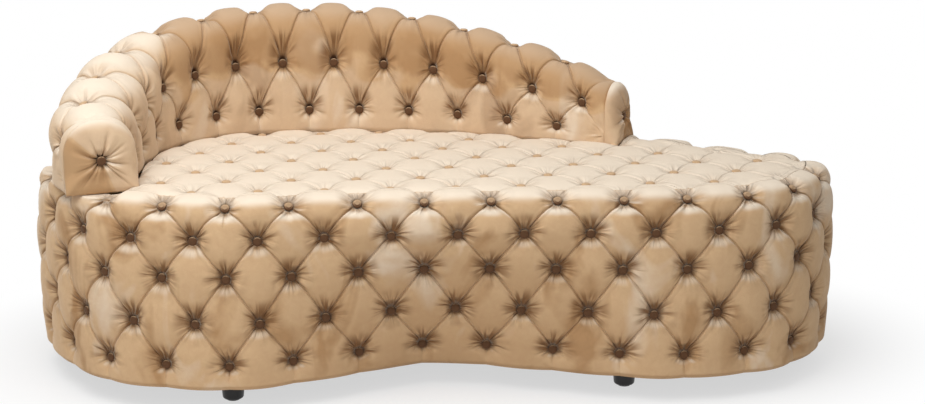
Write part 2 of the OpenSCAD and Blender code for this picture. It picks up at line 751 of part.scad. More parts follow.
function rib_step(k) = norm(back_xy(k + 1, frame_mid[k + 1]) - back_xy(k, frame_mid[k]));
module back_ribs()
{
    r = frame_r - back_wall_t - 2 * slot_gap;
    color(plywood)
    for (c = [0:back_columns - 1]) {
        k = c * quarter + 1;
        a = back_xy(k, frame_mid[k]);
        b = back_xy(k + 1, frame_mid[k + 1]);
        along = unit(b - a);
        s = rib_t / 2 / rib_step(k);
        top = tuft_plane + min(mix(crest_mid(k), crest_mid(k + 1), 0.5 - s),
            mix(crest_mid(k), crest_mid(k + 1), 0.5 + s));
        translate(at_z((a + b) / 2, 0))
        rotate([90, 0, atan2(along[1], along[0]) - 90])
        translate([0, 0, -rib_t / 2])
        linear_extrude(rib_t)
        polygon(concat([[-r, rib_z], [r, rib_z]],
            [for (f = [0:45:180]) [r * cos(f), top + r * sin(f)]]));
    }
}

function wall_band(k, o, low) =
    [[o[0], crest_mid(k)], [o[0], low], [o[1], low], [o[1], crest_mid(k)]];
module back_inner_wall()
{
    color(plywood)
    difference() {
        swept([for (k = [0:back_n]) back_ring(k, wall_band(k,
            [frame_mid[k] + frame_r, frame_mid[k] + frame_r - back_wall_t], foam_drop))], 2);
        back_twine_holes([2, 4]);
    }
}

module back_outer_wall()
{
    color(plywood)
    difference() {
        swept([for (k = [back_n:-1:0]) back_ring(k, wall_band(k,
            [frame_mid[k] - frame_r, frame_mid[k] - frame_r + back_wall_t], foam_drop))], 2);
        back_twine_holes([8, 10]);
    }
}

module back_crest_wall()
{
    color(plywood)
    difference() {
        swept([for (k = [0:back_n]) back_ring(k, concat(
            frame_arc(k, frame_r, [180:-45:0]),
            frame_arc(k, frame_r - back_wall_t, [0:45:180])))], 5);
        back_twine_holes([4, 6, 8]);
    }
}

// Buttons of the back: quarter column and half row, clear of the roll's ends
back_buttons_at = [for (half = [2:2:2 * back_rows - 2]) for (c = [0:back_columns - 1])
    let (k = c * quarter + (half % 4 == 0 ? quarter / 2 : 0))
    if (k > 0) [k, half]];
// The twine runs level to the wall, or to the middle of the round top. Its
// length to the frame's middle, its angle and the depth of its toggle's seat
function crest_slope(k) =
    let (i = max(1, min(back_n - 1, k)))
    abs(crest_mid(i + 1) - crest_mid(i - 1)) / norm(back_xy(i + 1, 0) - back_xy(i - 1, 0));
function back_tie(b) =
    let (f = back_face(b[0], b[1]), aim = [frame_mid[b[0]], min(f[1], crest_mid(b[0]))],
        way = flat(f) - aim, angle = atan2(way[1], way[0]), r = frame_r - back_wall_t)
    [norm(way), angle, abs(sin(angle)) < level_share ? r - 2 * slot_gap
        : r * crest_toggle_share - toggle_d / 2 * crest_slope(b[0])];
module at_back(b)
{
    out = right_of(roll_dir[b[0]]);
    translate(back_point(b[0], back_face(b[0], b[1])))
    rotate([0, 90 - back_tie(b)[1], atan2(out[1], out[0])])
    children();
}
module back_twine_holes(halves)
{
    for (b = back_buttons_at)
        if (len(search(b[1], halves)) > 0)
            at_back(b)
            translate([0, 0, -back_tie(b)[0] + frame_r - back_wall_t - wall_reach])
            rotate(hole_turn)
            cylinder(h = back_wall_t + 2 * wall_reach, d = twine_hole_d, $fn = tie_facets);
}

// Round-headed bolts, washers and nuts that hold the sill to the seat board
function back_bolt_xy(i) =
    let (k = back_bolt_columns[i] * quarter + quarter - 1) back_xy(k, frame_mid[k]);
module at_back_bolts()
{
    for (i = [0:len(back_bolt_columns) - 1])
        translate(back_bolt_xy(i))
        children();
}
module back_bolt_holes(z, h)
{
    at_back_bolts()
    translate([0, 0, z])
    cylinder(h = h, d = bolt_d + 2 * bolt_gap, $fn = round_facets);
}
// The webs' places, midway between two lines of ties and clear of the nuts of
// the feet and the back
nuts_at = concat([for (i = [0:len(leg_shares) - 1]) leg_xy(i)],
    [for (i = [0:len(back_bolt_columns) - 1]) back_bolt_xy(i)]);
function web_clear(at, axis) =
    min([for (p = nuts_at) abs(p[axis] - at)])
        > (web_t + max(tee_flange_d, washer_d)) / 2 + slot_gap;
function nearest(at, places) =
    let (least = min([for (p = places) abs(p - at)]))
    [for (p = places) if (abs(p - at) == least) p][0];
web_xs = [for (s = web_x_shares) nearest(s * base_length,
    [for (i = [-2 * side_columns:2 * side_columns])
        let (x = seat_x0 + (i + 0.5) * tuft_pitch / 2)
        if (web_clear(x, 0)) x])];
web_y = nearest(web_y_share * base_depth,
    [for (j = [0:side_columns])
        let (y = seat_y0 + (j + 0.5) * seat_row_gap)
        if (web_clear(y, 1)) y]);

bolt_tail = washer_t + nut_h;
module back_bolts()
{
    color(steel)
    at_back_bolts() {
        translate([0, 0, rib_z])
        rotate_extrude($fn = round_facets)
        polygon(concat([[0, 0]], [for (a = [0:15:75])
            [bolt_head_d / 2 * cos(a), bolt_head_h * sin(a)]], [[0, bolt_head_h * sin(75)]]));
        translate([0, 0, seat_board_z - bolt_tail])
        cylinder(h = rib_z - seat_board_z + bolt_tail + bolt_head_h / 2, d = bolt_d,
            $fn = round_facets);
    }
}

module back_washers()
{
    color(steel)
    at_back_bolts()
    translate([0, 0, seat_board_z - washer_t])
    difference() {
        cylinder(h = washer_t, d = washer_d, $fn = round_facets);
        translate([0, 0, -overrun])
        cylinder(h = washer_t + 2 * overrun, d = bolt_d + 2 * bolt_gap, $fn = round_facets);
    }
}

module back_nuts()
{
    color(steel)
    at_back_bolts()
    translate([0, 0, seat_board_z - bolt_tail])
    difference() {
        cylinder(h = nut_h, d = nut_af / cos(30), $fn = 6);
        translate([0, 0, -overrun])
        cylinder(h = nut_h + 2 * overrun, d = bolt_d + 2 * bolt_gap, $fn = round_facets);
    }
}

// The seat's outline: the side padding's inner face in front and at the right,
// the arm's end and the roll behind
seat_ring = side_ring(seat_board_z, side_pad_t + 2 * soft_gap);
// A point beside one end of the roll, at shares of its half width and of the
// padded end's thickness
function beside_end(k, facing, across, away) =
    back_xy(k, across * roll_at[k][2] / 2 + soft_gap)
    + roll_dir[k] * facing * (end_pad_t * away + soft_gap);
function inner_edge(k) = back_xy(k, roll_at[k][2] / 2 + soft_gap);
arm_x = beside_end(0, -1, 1, end_lift_shares[0])[0];
arm_y = min([for (o = [-1, 1]) beside_end(0, -1, o, 1)[1]]);
tail_line = [beside_end(back_n, 1, 1, end_lift_shares[0]),
    beside_end(back_n, 1, end_ring_shares[1], 1), beside_end(back_n, 1, -1, 1)];
back_line = concat([for (k = [0:back_n]) inner_edge(k)], tail_line);
function line_y(x) =
    min(concat([base_depth], [for (i = [0:len(back_line) - 2])
        let (a = back_line[i], b = back_line[i + 1])
        if (a[0] < x && b[0] >= x) mix(a[1], b[1], (x - a[0]) / (b[0] - a[0]))]));
function front_y(x) = min(crossings(seat_ring, x));
function rear_y(x) =
    x < arm_x ? max(front_y(x) + least_step, arm_y)
    : min(max(crossings(seat_ring, x)), line_y(x));
seat_start = arm_x - arm_reach_share * tuft_pitch;
seat_end = max([for (p = seat_ring) p[0]]) - slit;
column_step = tuft_pitch / quarter;
row_step = seat_row_gap / 2;
// The seat's columns: quarters of the pitch, and the corners of its outline
corner_xs = concat([seat_start, arm_x - slit, arm_x],
    [for (s = arm_bend_shares) arm_x + s * column_step],
    [inner_edge(back_n)[0], tail_line[0][0], tail_line[1][0], seat_end]);
quarter_xs = [for (i = [ceil((seat_start - seat_x0) / column_step):
        floor((seat_end - seat_x0) / column_step)])
    let (x = seat_x0 + i * column_step)
    if (min([for (c = corner_xs) abs(x - c)]) > least_step) x];
function sorted(v) =
    len(v) < 2 ? v
    : let (p = v[0])
        concat(sorted([for (x = v) if (x < p) x]), [p], sorted([for (x = v) if (x > p) x]));
seat_xs = sorted(concat(corner_xs, quarter_xs));
seat_fronts = [for (x = seat_xs) front_y(x)];
seat_rears = [for (x = seat_xs) rear_y(x)];
first_row = floor((min(seat_fronts) - seat_y0) / row_step);
last_row = ceil((max(seat_rears) - seat_y0) / row_step);
seat_rows = last_row - first_row + 1;
function row_y(j) = seat_y0 + (first_row + j) * row_step;
// The rows in which a column starts and ends
start_row = [for (y = seat_fronts)
    max([for (j = [0:seat_rows - 1]) if (j == 0 || row_y(j) < y + least_step) j])];
end_row = [for (y = seat_rears)
    min([for (j = [0:seat_rows - 1]) if (j == seat_rows - 1 || row_y(j) > y - least_step) j])];
function seat_puff(x, y) =
    row_puff((x - seat_x0) / tuft_pitch, (y - seat_y0) / seat_row_gap);
function seat_top(i, j) =
    j <= start_row[i] ? [seat_xs[i], seat_fronts[i], rim_z]
    : j >= end_row[i] ? [seat_xs[i], seat_rears[i], rim_z]
    : [seat_xs[i], row_y(j), tuft_plane + seat_tuft_depth * seat_puff(seat_xs[i], row_y(j))];
function seat_id(i, j) = i * seat_rows + min(max(j, start_row[i]), end_row[i]);
function whole(face) =
    face[0] != face[1] && face[1] != face[2] && face[0] != face[2];

module seat_pad()
{
    n = len(seat_xs);
    points = concat(
        [for (i = [0:n - 1]) for (j = [0:seat_rows - 1]) seat_top(i, j)],
        [for (i = [0:n - 1]) [seat_xs[i], seat_fronts[i], seat_pad_z]],
        [for (i = [0:n - 1]) [seat_xs[i], seat_rears[i], seat_pad_z]]);
    low_front = n * seat_rows;
    low_rear = low_front + n;
    top = [for (i = [0:n - 2]) for (j = [0:seat_rows - 2])
        let (a = seat_id(i, j), b = seat_id(i, j + 1), d = seat_id(i + 1, j), e = seat_id(i + 1, j + 1),
            q = round((seat_xs[i] - seat_x0) / column_step))
        each (on_fold(q, first_row + j)
            ? [[a, b, e], [a, e, d]]
            : [[a, b, d], [b, e, d]])];
    edges = [for (i = [0:n - 2])
        let (a = seat_id(i, 0), d = seat_id(i + 1, 0), b = seat_id(i, seat_rows),
            e = seat_id(i + 1, seat_rows), f = low_front + i, r = low_rear + i)
        each [[a, d, f], [d, f + 1, f], [b, r, e], [e, r, r + 1],
            [f, f + 1, r], [f + 1, r + 1, r]]];
    ends = concat(
        [for (j = [start_row[0]:end_row[0] - 1]) [low_front, seat_id(0, j + 1), seat_id(0, j)]],
        [[low_front, low_rear, seat_id(0, seat_rows)]],
        [for (j = [start_row[n - 1]:end_row[n - 1] - 1])
            [low_front + n - 1, seat_id(n - 1, j), seat_id(n - 1, j + 1)]],
        [[low_front + n - 1, seat_id(n - 1, seat_rows), low_rear + n - 1]]);
    color(velvet)
    polyhedron(points = points, faces = [for (f = concat(top, edges, ends)) if (whole(f)) f],
        convexity = 10);
}

// The seat's buttons, clear of the padding around it
seat_buttons_at = [for (j = [0:seat_rows]) for (i = [-side_columns:side_columns])
    let (row = j + ceil(first_row / 2), x = seat_x0 + (i + 0.5 * abs(row % 2)) * tuft_pitch,
        y = seat_y0 + row * seat_row_gap)
    if (x > arm_x + button_margin && x < seat_end - button_margin)
    if (y > front_y(x) + button_margin && y < rear_y(x) - button_margin) [x, y]];

module seat_twine_holes(z, h)
{
    for (p = seat_buttons_at)
        translate(at_z(p, z))
        cylinder(h = h, d = twine_hole_d, $fn = tie_facets);
}

module seat_foam()
{
    n = len(seat_xs);
    color(foam)
    difference() {
        translate([0, 0, seat_foam_z])
        linear_extrude(seat_foam_t)
        polygon(concat([for (i = [0:n - 1]) [seat_xs[i], seat_fronts[i]]],
            [for (i = [n - 1:-1:0]) [seat_xs[i], seat_rears[i]]]));
        seat_twine_holes(seat_foam_z - overrun, seat_foam_t + 2 * overrun);
    }
}

module seat_board()
{
    color(plywood)
    difference() {
        plate(seat_board_z, board_t, frame_inset);
        seat_twine_holes(seat_board_z - overrun, board_t + 2 * overrun);
        back_bolt_holes(seat_board_z - overrun, board_t + 2 * overrun);
    }
}

// A covered button with its drawn-in back, standing on the bottom of its well
module tuft_button(seat_angle)
{
    r = button_d / 2;
    stem = r * tan(seat_angle);
    rim = stem + button_rim_share * r;
    color(button_velvet)
    rotate_extrude($fn = arc_facets)
    polygon(concat([[0, 0], [button_tip_share * r, 0], [r, stem]],
        [for (a = [0:30:60]) [r * cos(a), rim + button_dome * sin(a)]],
        [[0, rim + button_dome * sin(60)]]));
}

module seat_buttons()
{
    for (p = seat_buttons_at)
        translate(at_z(p, tuft_plane))
        tuft_button(button_seat_angle);
}

side_buttons_at = [for (row = [0:side_rows - 1]) for (k = side_button_columns(row))
    if (row > 0 || covered(k) == 0) [k, row]];
module side_buttons()
{
    for (b = side_buttons_at)
        translate(side_surface(b[0], 2 * b[1]))
        rotate([0, 90 - (b[1] == 0 ? shoulder_angles[1] : 0), out_angle(b[0])])
        tuft_button(button_side_angle);
}

module end_button(k, facing)
{
    away = roll_dir[k] * facing;
    translate(back_point(k, [0, end_button_share * roll_at[k][3]])
        + at_z(away * end_pad_t * end_hub_share, 0))
    rotate([0, 90, atan2(away[1], away[0])])
    tuft_button(button_back_angle);
}

module back_buttons()
{
    for (b = back_buttons_at)
        at_back(b)
        tuft_button(button_back_angle);
    end_button(0, -1);
    end_button(back_n, 1);
}

// Twine from a button to a toggle behind its board, drawn from the button down
module button_tie(reach)
{
    color(twine_white)
    translate([0, 0, -reach]) {
        cylinder(h = reach, d = twine_d, $fn = tie_facets);
        translate([0, 0, -toggle_t])
        cylinder(h = toggle_t, d = toggle_d, $fn = arc_facets);
    }
}

module seat_button_ties()
{
    for (p = seat_buttons_at)
        translate(at_z(p, tuft_plane))
        button_tie(tuft_plane - seat_board_z);
}

module side_button_ties()
{
    for (b = side_buttons_at)
        if (b[1] > 0)
            translate(side_surface(b[0], 2 * b[1]))
            rotate([0, 90, out_angle(b[0])])
            button_tie(side_pad_t + wall_t - side_inset(b[1]) + slot_gap
                + toggle_d / 2 * wall_slope(b[0]));
}

module back_button_ties()
{
    for (b = back_buttons_at)
        at_back(b)
        button_tie(back_tie(b)[0] - back_tie(b)[2]);
}

module cross_web_1()
{
    cross_web(0);
}

module cross_web_2()
{
    cross_web(1);
}

module cross_web_3()
{
    cross_web(2);
}

module cross_web_4()
{
    cross_web(3);
}

module cross_web_5()
{
    cross_web(4);
}

leg(0);  // leg_front_left
leg(1);  // leg_front_right
leg(2);  // leg_left
leg(3);  // leg_right
leg(4);  // leg_rear_left
leg(5);  // leg_rear_right
leg_glides();
leg_bolts();
leg_tee_nuts();
dust_cover();
base_board();
long_web();
cross_web_1();
cross_web_2();
cross_web_3();
cross_web_4();
cross_web_5();
wall_studs();
wall_front();
wall_right();
wall_rear();
wall_left();
seat_board();
side_pad_front();
side_pad_right();
side_pad_rear();
side_pad_left();
side_buttons();
side_button_ties();
seat_foam();
seat_pad();
seat_buttons();
seat_button_ties();
back_sill();
back_ribs();
back_inner_wall();
back_outer_wall();
back_crest_wall();
back_inner_pad();
back_outer_pad();
arm_end_pad();
tail_end_pad();
back_buttons();
back_button_ties();
back_bolts();
back_washers();
back_nuts();
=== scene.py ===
"""Fainting couch in deep-buttoned velvet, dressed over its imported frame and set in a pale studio."""

import math

import bmesh
import bpy
import numpy as np
from bpy.props import FloatProperty, FloatVectorProperty, IntProperty, PointerProperty
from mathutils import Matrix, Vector


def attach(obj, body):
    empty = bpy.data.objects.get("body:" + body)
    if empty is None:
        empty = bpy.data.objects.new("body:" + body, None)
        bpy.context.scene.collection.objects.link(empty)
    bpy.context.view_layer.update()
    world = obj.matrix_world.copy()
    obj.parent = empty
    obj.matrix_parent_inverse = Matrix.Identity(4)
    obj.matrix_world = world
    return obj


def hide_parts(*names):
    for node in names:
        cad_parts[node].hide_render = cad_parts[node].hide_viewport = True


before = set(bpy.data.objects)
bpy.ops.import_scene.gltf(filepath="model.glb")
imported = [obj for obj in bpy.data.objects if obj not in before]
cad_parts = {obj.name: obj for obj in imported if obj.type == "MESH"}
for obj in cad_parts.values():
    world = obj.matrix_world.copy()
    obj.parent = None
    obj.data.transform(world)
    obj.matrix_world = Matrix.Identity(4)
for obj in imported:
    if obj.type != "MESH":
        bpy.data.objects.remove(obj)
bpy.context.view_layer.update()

bl_info = {
    "name": "Fainting couch",
    "version": (1, 0, 0),
    "blender": (4, 5, 0),
    "location": "View3D > Sidebar > Couch",
    "description": "Deep-buttoned velvet, frame finishes and studio of a fainting couch",
    "category": "Object",
}

MM = 0.001

# The couch's main sizes in millimetres, as the frame has them
BASE_LENGTH = 1772.0
BASE_DEPTH = 878.0
SEAT_Z = 467.0
LEG_Z = 53.0
BACK_RISE = 308.0
BOARD_Z = 388.0
TUFT_Z = 452.0
SEAT_PAD_Z = 430.0
SIDE_PAD_T = 60.0
SOFT_GAP = 0.3
SIDE_SWELL = 10.0
TOP_ROW_INSET = 36.0
END_PAD_T = 34.0
FRAME_R = 26.0
CREST_PAD_T = 45.0

# The outline of the base at the floor and at the seat, anticlockwise from the
# front of the left lobe, as shares of the base's length and depth
EDGE_SHARES = [
    (-0.261, -0.488), (-0.141, -0.424), (-0.012, -0.334), (0.134, -0.42),
    (0.275, -0.499), (0.415, -0.44), (0.494, -0.249), (0.485, -0.078), (0.409, 0.07),
    (0.269, 0.265), (0.093, 0.412), (-0.082, 0.495), (-0.264, 0.471), (-0.413, 0.318),
    (-0.497, 0.011), (-0.476, -0.199), (-0.405, -0.394),
]
CROWN_SHARES = [
    (-0.261, -0.488), (-0.141, -0.473), (-0.012, -0.473), (0.134, -0.485),
    (0.275, -0.499), (0.415, -0.44), (0.494, -0.249), (0.476, -0.096), (0.397, 0.023),
    (0.263, 0.229), (0.093, 0.412), (-0.082, 0.495), (-0.264, 0.471), (-0.413, 0.318),
    (-0.497, 0.011), (-0.476, -0.199), (-0.405, -0.394),
]
# The middle of the back's roll from the arm to the tail, with its width as a
# share of the base's depth and its height as a share of the back's rise
ROLL_SHARES = [
    (-0.409, -0.29, 0.178, 0.513), (-0.423, -0.155, 0.219, 0.6),
    (-0.417, -0.001, 0.224, 0.708), (-0.393, 0.153, 0.213, 0.825),
    (-0.337, 0.282, 0.179, 0.916), (-0.263, 0.367, 0.166, 0.977),
    (-0.17, 0.392, 0.161, 1.0), (-0.077, 0.39, 0.161, 0.977),
    (0.016, 0.355, 0.155, 0.903), (0.103, 0.29, 0.149, 0.782),
    (0.189, 0.208, 0.148, 0.64), (0.248, 0.142, 0.141, 0.47),
]
# How far the back's frame stands off the middle of its roll, as a share of the roll's width
FRAME_SHIFT_SHARES = [0.17, 0.03, 0, 0, 0, 0, 0, 0, 0, 0, 0.03, 0.08]
SPLINE_STEPS = 12
# How far to each side, in columns, a curve's direction is taken
NEARBY = 0.25

# The lattice of buttons: columns round the side and along the back, pitch and
# first button of the seat, and the gaps between rows, down the side and over
# the back from edge to edge
SIDE_COLUMNS = 31
BACK_COLUMNS = 13
SEAT_PITCH = 140.0
SEAT_ROW_GAP = 92.0
SEAT_X0 = -42.0
SEAT_Y0 = -402.2
SIDE_GAPS = (70, 72, 88, 96, 92)
BACK_GAPS = (70, 80, 105, 110, 110, 105, 70)
# Heights of the side's rows of buttons as shares of the side's height
SIDE_ROW_SHARES = (0.93, 0.78, 0.585, 0.345, 0.12, 0.0)
# Places of the back's rows of buttons as shares of the roll's height
BACK_LOW = 0.175
BACK_HIGH = 0.555
CREST_LEAN = 12.0
END_BUTTON = 0.45
# Rows at which the side's cloth starts and has its last buttons, and the middle
# and last rows of the back's
SIDE_TOP = -0.26
SIDE_LAST = 4
BACK_MIDDLE = 2
BACK_LAST = 4

# The stretch of the side that the back covers, as shares of the way round. The
# tufts there are pressed flat over a share of a row: their wells rise, and stop
# just under the back's foot
COVER_FROM = 0.46
COVER_TO = 0.9435
COVER_FADE = 0.0075
PRESSED_ROWS = 0.6
PRESSED_RISE = 9.0
PRESSED_GAP = 2.0

# The cloth at a button, in millimetres from its middle. It climbs from the hole
# on a curve, and a share of it laps over the button's rim. Small pleats, given
# as number and share, run out from it over a distance that varies by chance
BUTTON_HOLE = 4.5
WELL_CURVE = 0.88
FOLD_CURVE = 0.8
LAP = 0.2
LAP_RISE = 5.0
LAP_TO = 11.0
LAP_FADE = 12.0
WRINKLES = ((5, 0.5), (8, 0.8), (11, 0.8))
WRINKLES_HIGH = 1.6
WRINKLE_FROM = 9.0
WRINKLE_RISE = 9.0
WRINKLE_TO = 20.0
WRINKLE_FADE = 26.0
WRINKLE_CHANCE = 20.0
SEAT_WRINKLE = 0.55

# Height and length in millimetres of the slow swelling that keeps tufts from
# being alike
SIDE_UNEVEN = (2.2, 75.0)
SEAT_UNEVEN = (0.9, 80.0)
BACK_UNEVEN = (1.8, 70.0)
# How high the folds end at the hem of the side and at the two hems of the back,
# how far the side's hem tucks in, and how far the back draws in at its ends and
# its foot
SIDE_HEM = 0.78
BACK_HEM = 0.74
HEM_TUCK = 8.0
BACK_PULL = 3.0
BACK_PULL_FROM = 30.0
# Rows of the side from which to which the rounded tops come in and go out, the
# cloth under the back stops being flat, wrinkles set in and the hem tucks in
SIDE_TOPS_IN = (0.0, 0.8)
SIDE_TOPS_OUT = (4.7, 3.8)
SIDE_FLAT = (0.4, 0.1)
SIDE_CALM = (-0.26, -0.01)
SIDE_TUCK = (4.8, 5.0)
# Rows from the back's crest at which the rounded tops are full, go out and the
# foot draws in, and columns from its ends over which tufts and pleats set in
BACK_TOPS_FULL = 1.5
BACK_TOPS_OUT = (2.8, 2.0)
BACK_FOOT = (2.76, 3.0)
BACK_TUFTS_IN = (0.0, 0.48)
BACK_PLEATS_IN = (0.1, 0.5)
# Rows beyond the first or last buttons at which the fine pleats have gone
PLEATS_GONE = 0.4
# Where the crest was brushed against the light: columns over which that sets in
# and rows from the crest over which it ends, along a slowly waving edge
BRUSHED_IN = (3.2, 4.1)
BRUSHED_OUT = (1.4, 0.9)
BRUSHED_EDGE = (0.4, 45.0)
# The crease of the seat beside the back, and the blend of its grid of tufts
# into the side's first row, by distance from the edge
CREASE_DEPTH = 8.0
CREASE_WIDTH = 26.0
RIM_FROM = 66.0
RIM_FADE = 50.0
SEAT_CALM = 25.0

# The seat's and the back's wells are open to the light, so they look less deep
# than the side's: these shares lessen their painted shade and their fine pleats
SEAT_SHADE = 0.74
BACK_SHADE = 0.86
# How far the back's pile lies with the light where it isn't brushed against it
WITH_LIGHT = 0.42

# The mesh: points of an outline to a column, how far a tuft's faces crowd to
# its folds, a skirt's faces against a tuft's, and the distances under which
# points join, on the flat lattice and, in metres, on the pieces
RING_STEPS = 24
SEAT_RING_STEPS = 16
CROWDING = 0.55
SKIRT_FACES = 0.7
JOIN = 1e-4
WELD = 2e-5
SEAT_WELD = 1e-5

# The faces that close the roll's ends: steps round and out, the pleats as
# number, share and turn, and their depth in millimetres
END_AROUND = 144
END_OUT = 40
END_PLEATS = ((9, 1.0, 0.4), (14, 0.45, 1.9), (22, 0.25, 0.7))
END_PLEAT_DEPTH = 8.0
END_LEAST_LIFT = 2.0

# Sizes in millimetres of the velvet's patterns: patches brushed by hand, crushed
# places, and pile, which is coarser than the real 0.4 mm so that it shows
PATCH = 125.0
CRUSH = 16.67
PILE = 1.54
# Height in millimetres of the fans of fine pleats and of a fold's lip, and the
# distances between two buttons of a row, two rows and two folds
FAN_HIGH = 9.0
LIP_HIGH = 1.8
PLEAT_PITCH = 140.0
PLEAT_ROW_GAP = 90.0
PLEAT_FOLDS = 114.0


def linear(code):
    """Linear colour, with alpha, of an sRGB hex code."""
    parts = [int(code[i:i + 2], 16) / 255 for i in (1, 3, 5)]
    return tuple(c / 12.92 if c <= 0.04045 else ((c + 0.055) / 1.055) ** 2.4 for c in parts) + (1.0,)


def length_property(name, description, default, least, most):
    """A length that a user can set, here in millimetres."""
    return FloatProperty(name=name, description=description, default=default * MM, min=least * MM,
                         max=most * MM, subtype="DISTANCE", unit="LENGTH")


def colour_property(name, description, code):
    """A colour that a user can set."""
    return FloatVectorProperty(name=name, description=description, default=linear(code), size=4,
                               min=0, max=1, subtype="COLOR")


class CouchTufting(bpy.types.PropertyGroup):
    """How deep and how full the buttoned padding is."""

    side_depth: length_property("Side depth", "How far the side's buttons are drawn in", 32, 10, 50)
    seat_depth: length_property("Seat depth", "How far the seat's buttons are drawn in", 15, 5, 30)
    back_depth: length_property("Back depth", "How far the back's buttons are drawn in", 30, 10, 50)
    wrinkle: length_property(
        "Wrinkle height", "Height of the small pleats that run out from a button", 2, 0, 5)
    well: length_property(
        "Well radius", "Radius at which the cloth starts down to a button", 44, 12, 60)
    bow: length_property("Bow", "How far a tuft's rounded top rises over the fold above it", 9, 0, 20)
    fold: FloatProperty(
        name="Fold height", description="Height of a fold midway between two buttons, against the crown",
        default=0.6, min=0.2, max=0.95, subtype="FACTOR")
    roundness: FloatProperty(
        name="Roundness", description="How round a tuft is, from flat with narrow folds to a full cushion",
        default=0.95, min=0.4, max=1.5, subtype="FACTOR")
    segments: IntProperty(
        name="Segments", description="Mesh faces along one edge of a tuft", default=26, min=6, max=40)
    seat_segments: IntProperty(
        name="Seat segments", description="Mesh faces along one edge of a tuft of the seat",
        default=22, min=6, max=40)


class CouchColours(bpy.types.PropertyGroup):
    """The finishes that a user would change."""

    velvet: colour_property("Velvet", "Colour of the velvet where its pile stands", "#CFAC84")
    # light nap in patches, and also the painted light on faces that turn up
    velvet_light_nap_and_painted_light: colour_property(
        "Velvet, light nap", "Colour of the velvet where its pile lies towards the eye", "#EBDCC8")
    # dark nap in patches, and also the painted shade in folds and on faces that turn down
    velvet_dark_nap_and_painted_shade: colour_property(
        "Velvet, dark nap", "Colour of the velvet where its pile is brushed the other way", "#B28B62")
    # painted shade: this tone is mixed in deep in the wells and folds
    velvet_well_painted_shade: colour_property(
        "Velvet, in the wells", "Colour of the velvet deep in a fold", "#4A2B16")
    # painted shade in the creases of the small pleats at the buttons
    velvet_pleat_painted_shade: colour_property(
        "Velvet, in the pleats", "Colour of the velvet in the small pleats at a button", "#7D5734")
    # painted shade: the velvet on these buttons is darkened as if in the shade of their wells
    button: colour_property(
        "Buttons", "Colour of the velvet stretched over the side's and the back's buttons", "#5E4029")
    # painted light: the buttons' velvet as if lit, on the seat and mixed into buttons that face up or sit
    # on the crest
    seat_button: colour_property(
        "Seat buttons", "Colour of the velvet stretched over the seat's buttons", "#C4A481")


class CouchStudio(bpy.types.PropertyGroup):
    """Camera and light."""

    camera_place: FloatVectorProperty(
        name="Camera", description="Place of the camera", default=(-0.295, -4.124, 1.422),
        size=3, subtype="TRANSLATION", unit="LENGTH")
    camera_aim: FloatVectorProperty(
        name="Aim", description="Direction in which the camera looks", default=(0.0852, 0.9640, -0.2521),
        size=3, subtype="DIRECTION")
    lens: FloatProperty(
        name="Lens", description="Focal length in millimetres", default=72.0, min=20, max=200)
    overhead: FloatProperty(
        name="Overhead light", description="Strength of the large soft lamp above", default=66.0,
        min=0, unit="POWER")
    front: FloatProperty(
        name="Front light", description="Strength of the soft lamp beside the camera", default=15.0,
        min=0, unit="POWER")
    room: FloatProperty(
        name="Room light", description="Strength of the even light from all round", default=0.36, min=0)


# Curves and surfaces in millimetres

def spline(points, t, closed):
    """Points of a Catmull-Rom curve at the given parameters."""
    p = np.asarray(points, float)
    t = np.asarray(t, float)
    i = np.floor(t).astype(int)
    if closed:
        a, b, c, d = (p[(i + k) % len(p)] for k in (-1, 0, 1, 2))
    else:
        i = np.clip(i, 0, len(p) - 2)
        p = np.vstack([2 * p[0] - p[1], p, 2 * p[-1] - p[-2]])
        a, b, c, d = (p[i + k] for k in range(4))
    s = (t - i)[:, None]
    return 0.5 * (2 * b + (c - a) * s + (2 * a - 5 * b + 4 * c - d) * s ** 2
                  + (3 * b - a - 3 * c + d) * s ** 3)


def lengths(points, closed):
    """Parameters along a curve and the length walked to each."""
    spans = len(points) - (0 if closed else 1)
    t = np.arange(spans * SPLINE_STEPS + 1) / SPLINE_STEPS
    p = spline(points, t, closed)[:, :2]
    steps = np.linalg.norm(np.diff(p, axis=0), axis=1)
    return t, np.concatenate([[0.0], np.cumsum(steps)])


def ease(x):
    """A smooth step from 0 at 0 to 1 at 1."""
    x = np.clip(x, 0.0, 1.0)
    return x * x * (3 - 2 * x)


def step(x, start, end):
    """A smooth step from 0 to 1 as x goes from start up or down to end."""
    return ease((x - start) / (end - start))


def right_of(d):
    """Directions in plan, turned to the right."""
    return np.stack([d[:, 1], -d[:, 0]], axis=1)


def unit(d):
    """Directions at length 1."""
    return d / np.linalg.norm(d, axis=1)[:, None]


PLAN = np.array([BASE_LENGTH, BASE_DEPTH])
EDGE = np.array(EDGE_SHARES) * PLAN
CROWN = np.array(CROWN_SHARES) * PLAN
SIDE_T, SIDE_S = lengths(CROWN, True)
ROLL = np.array(ROLL_SHARES) * np.array([BASE_LENGTH, BASE_DEPTH, BASE_DEPTH, BACK_RISE])
ROLL_T, ROLL_S = lengths(ROLL, False)


def side_t(column):
    """Parameter of the side's outline at a column."""
    return np.interp(np.mod(column, SIDE_COLUMNS) / SIDE_COLUMNS * SIDE_S[-1], SIDE_S, SIDE_T)


def side_out(column):
    """Direction out from the side at a column."""
    ahead = spline(CROWN, side_t(column + NEARBY), True)
    behind = spline(CROWN, side_t(column - NEARBY), True)
    return unit(right_of(ahead - behind))


def side_point(column, z, inset):
    """A point at a height, set in from the side's outline."""
    t = side_t(column)
    lean = np.clip((z - LEG_Z) / (BOARD_Z - LEG_Z), 0, 1)[:, None]
    p = spline(EDGE, t, True) * (1 - lean) + spline(CROWN, t, True) * lean
    p = p - side_out(column) * inset[:, None]
    return np.column_stack([p, z])


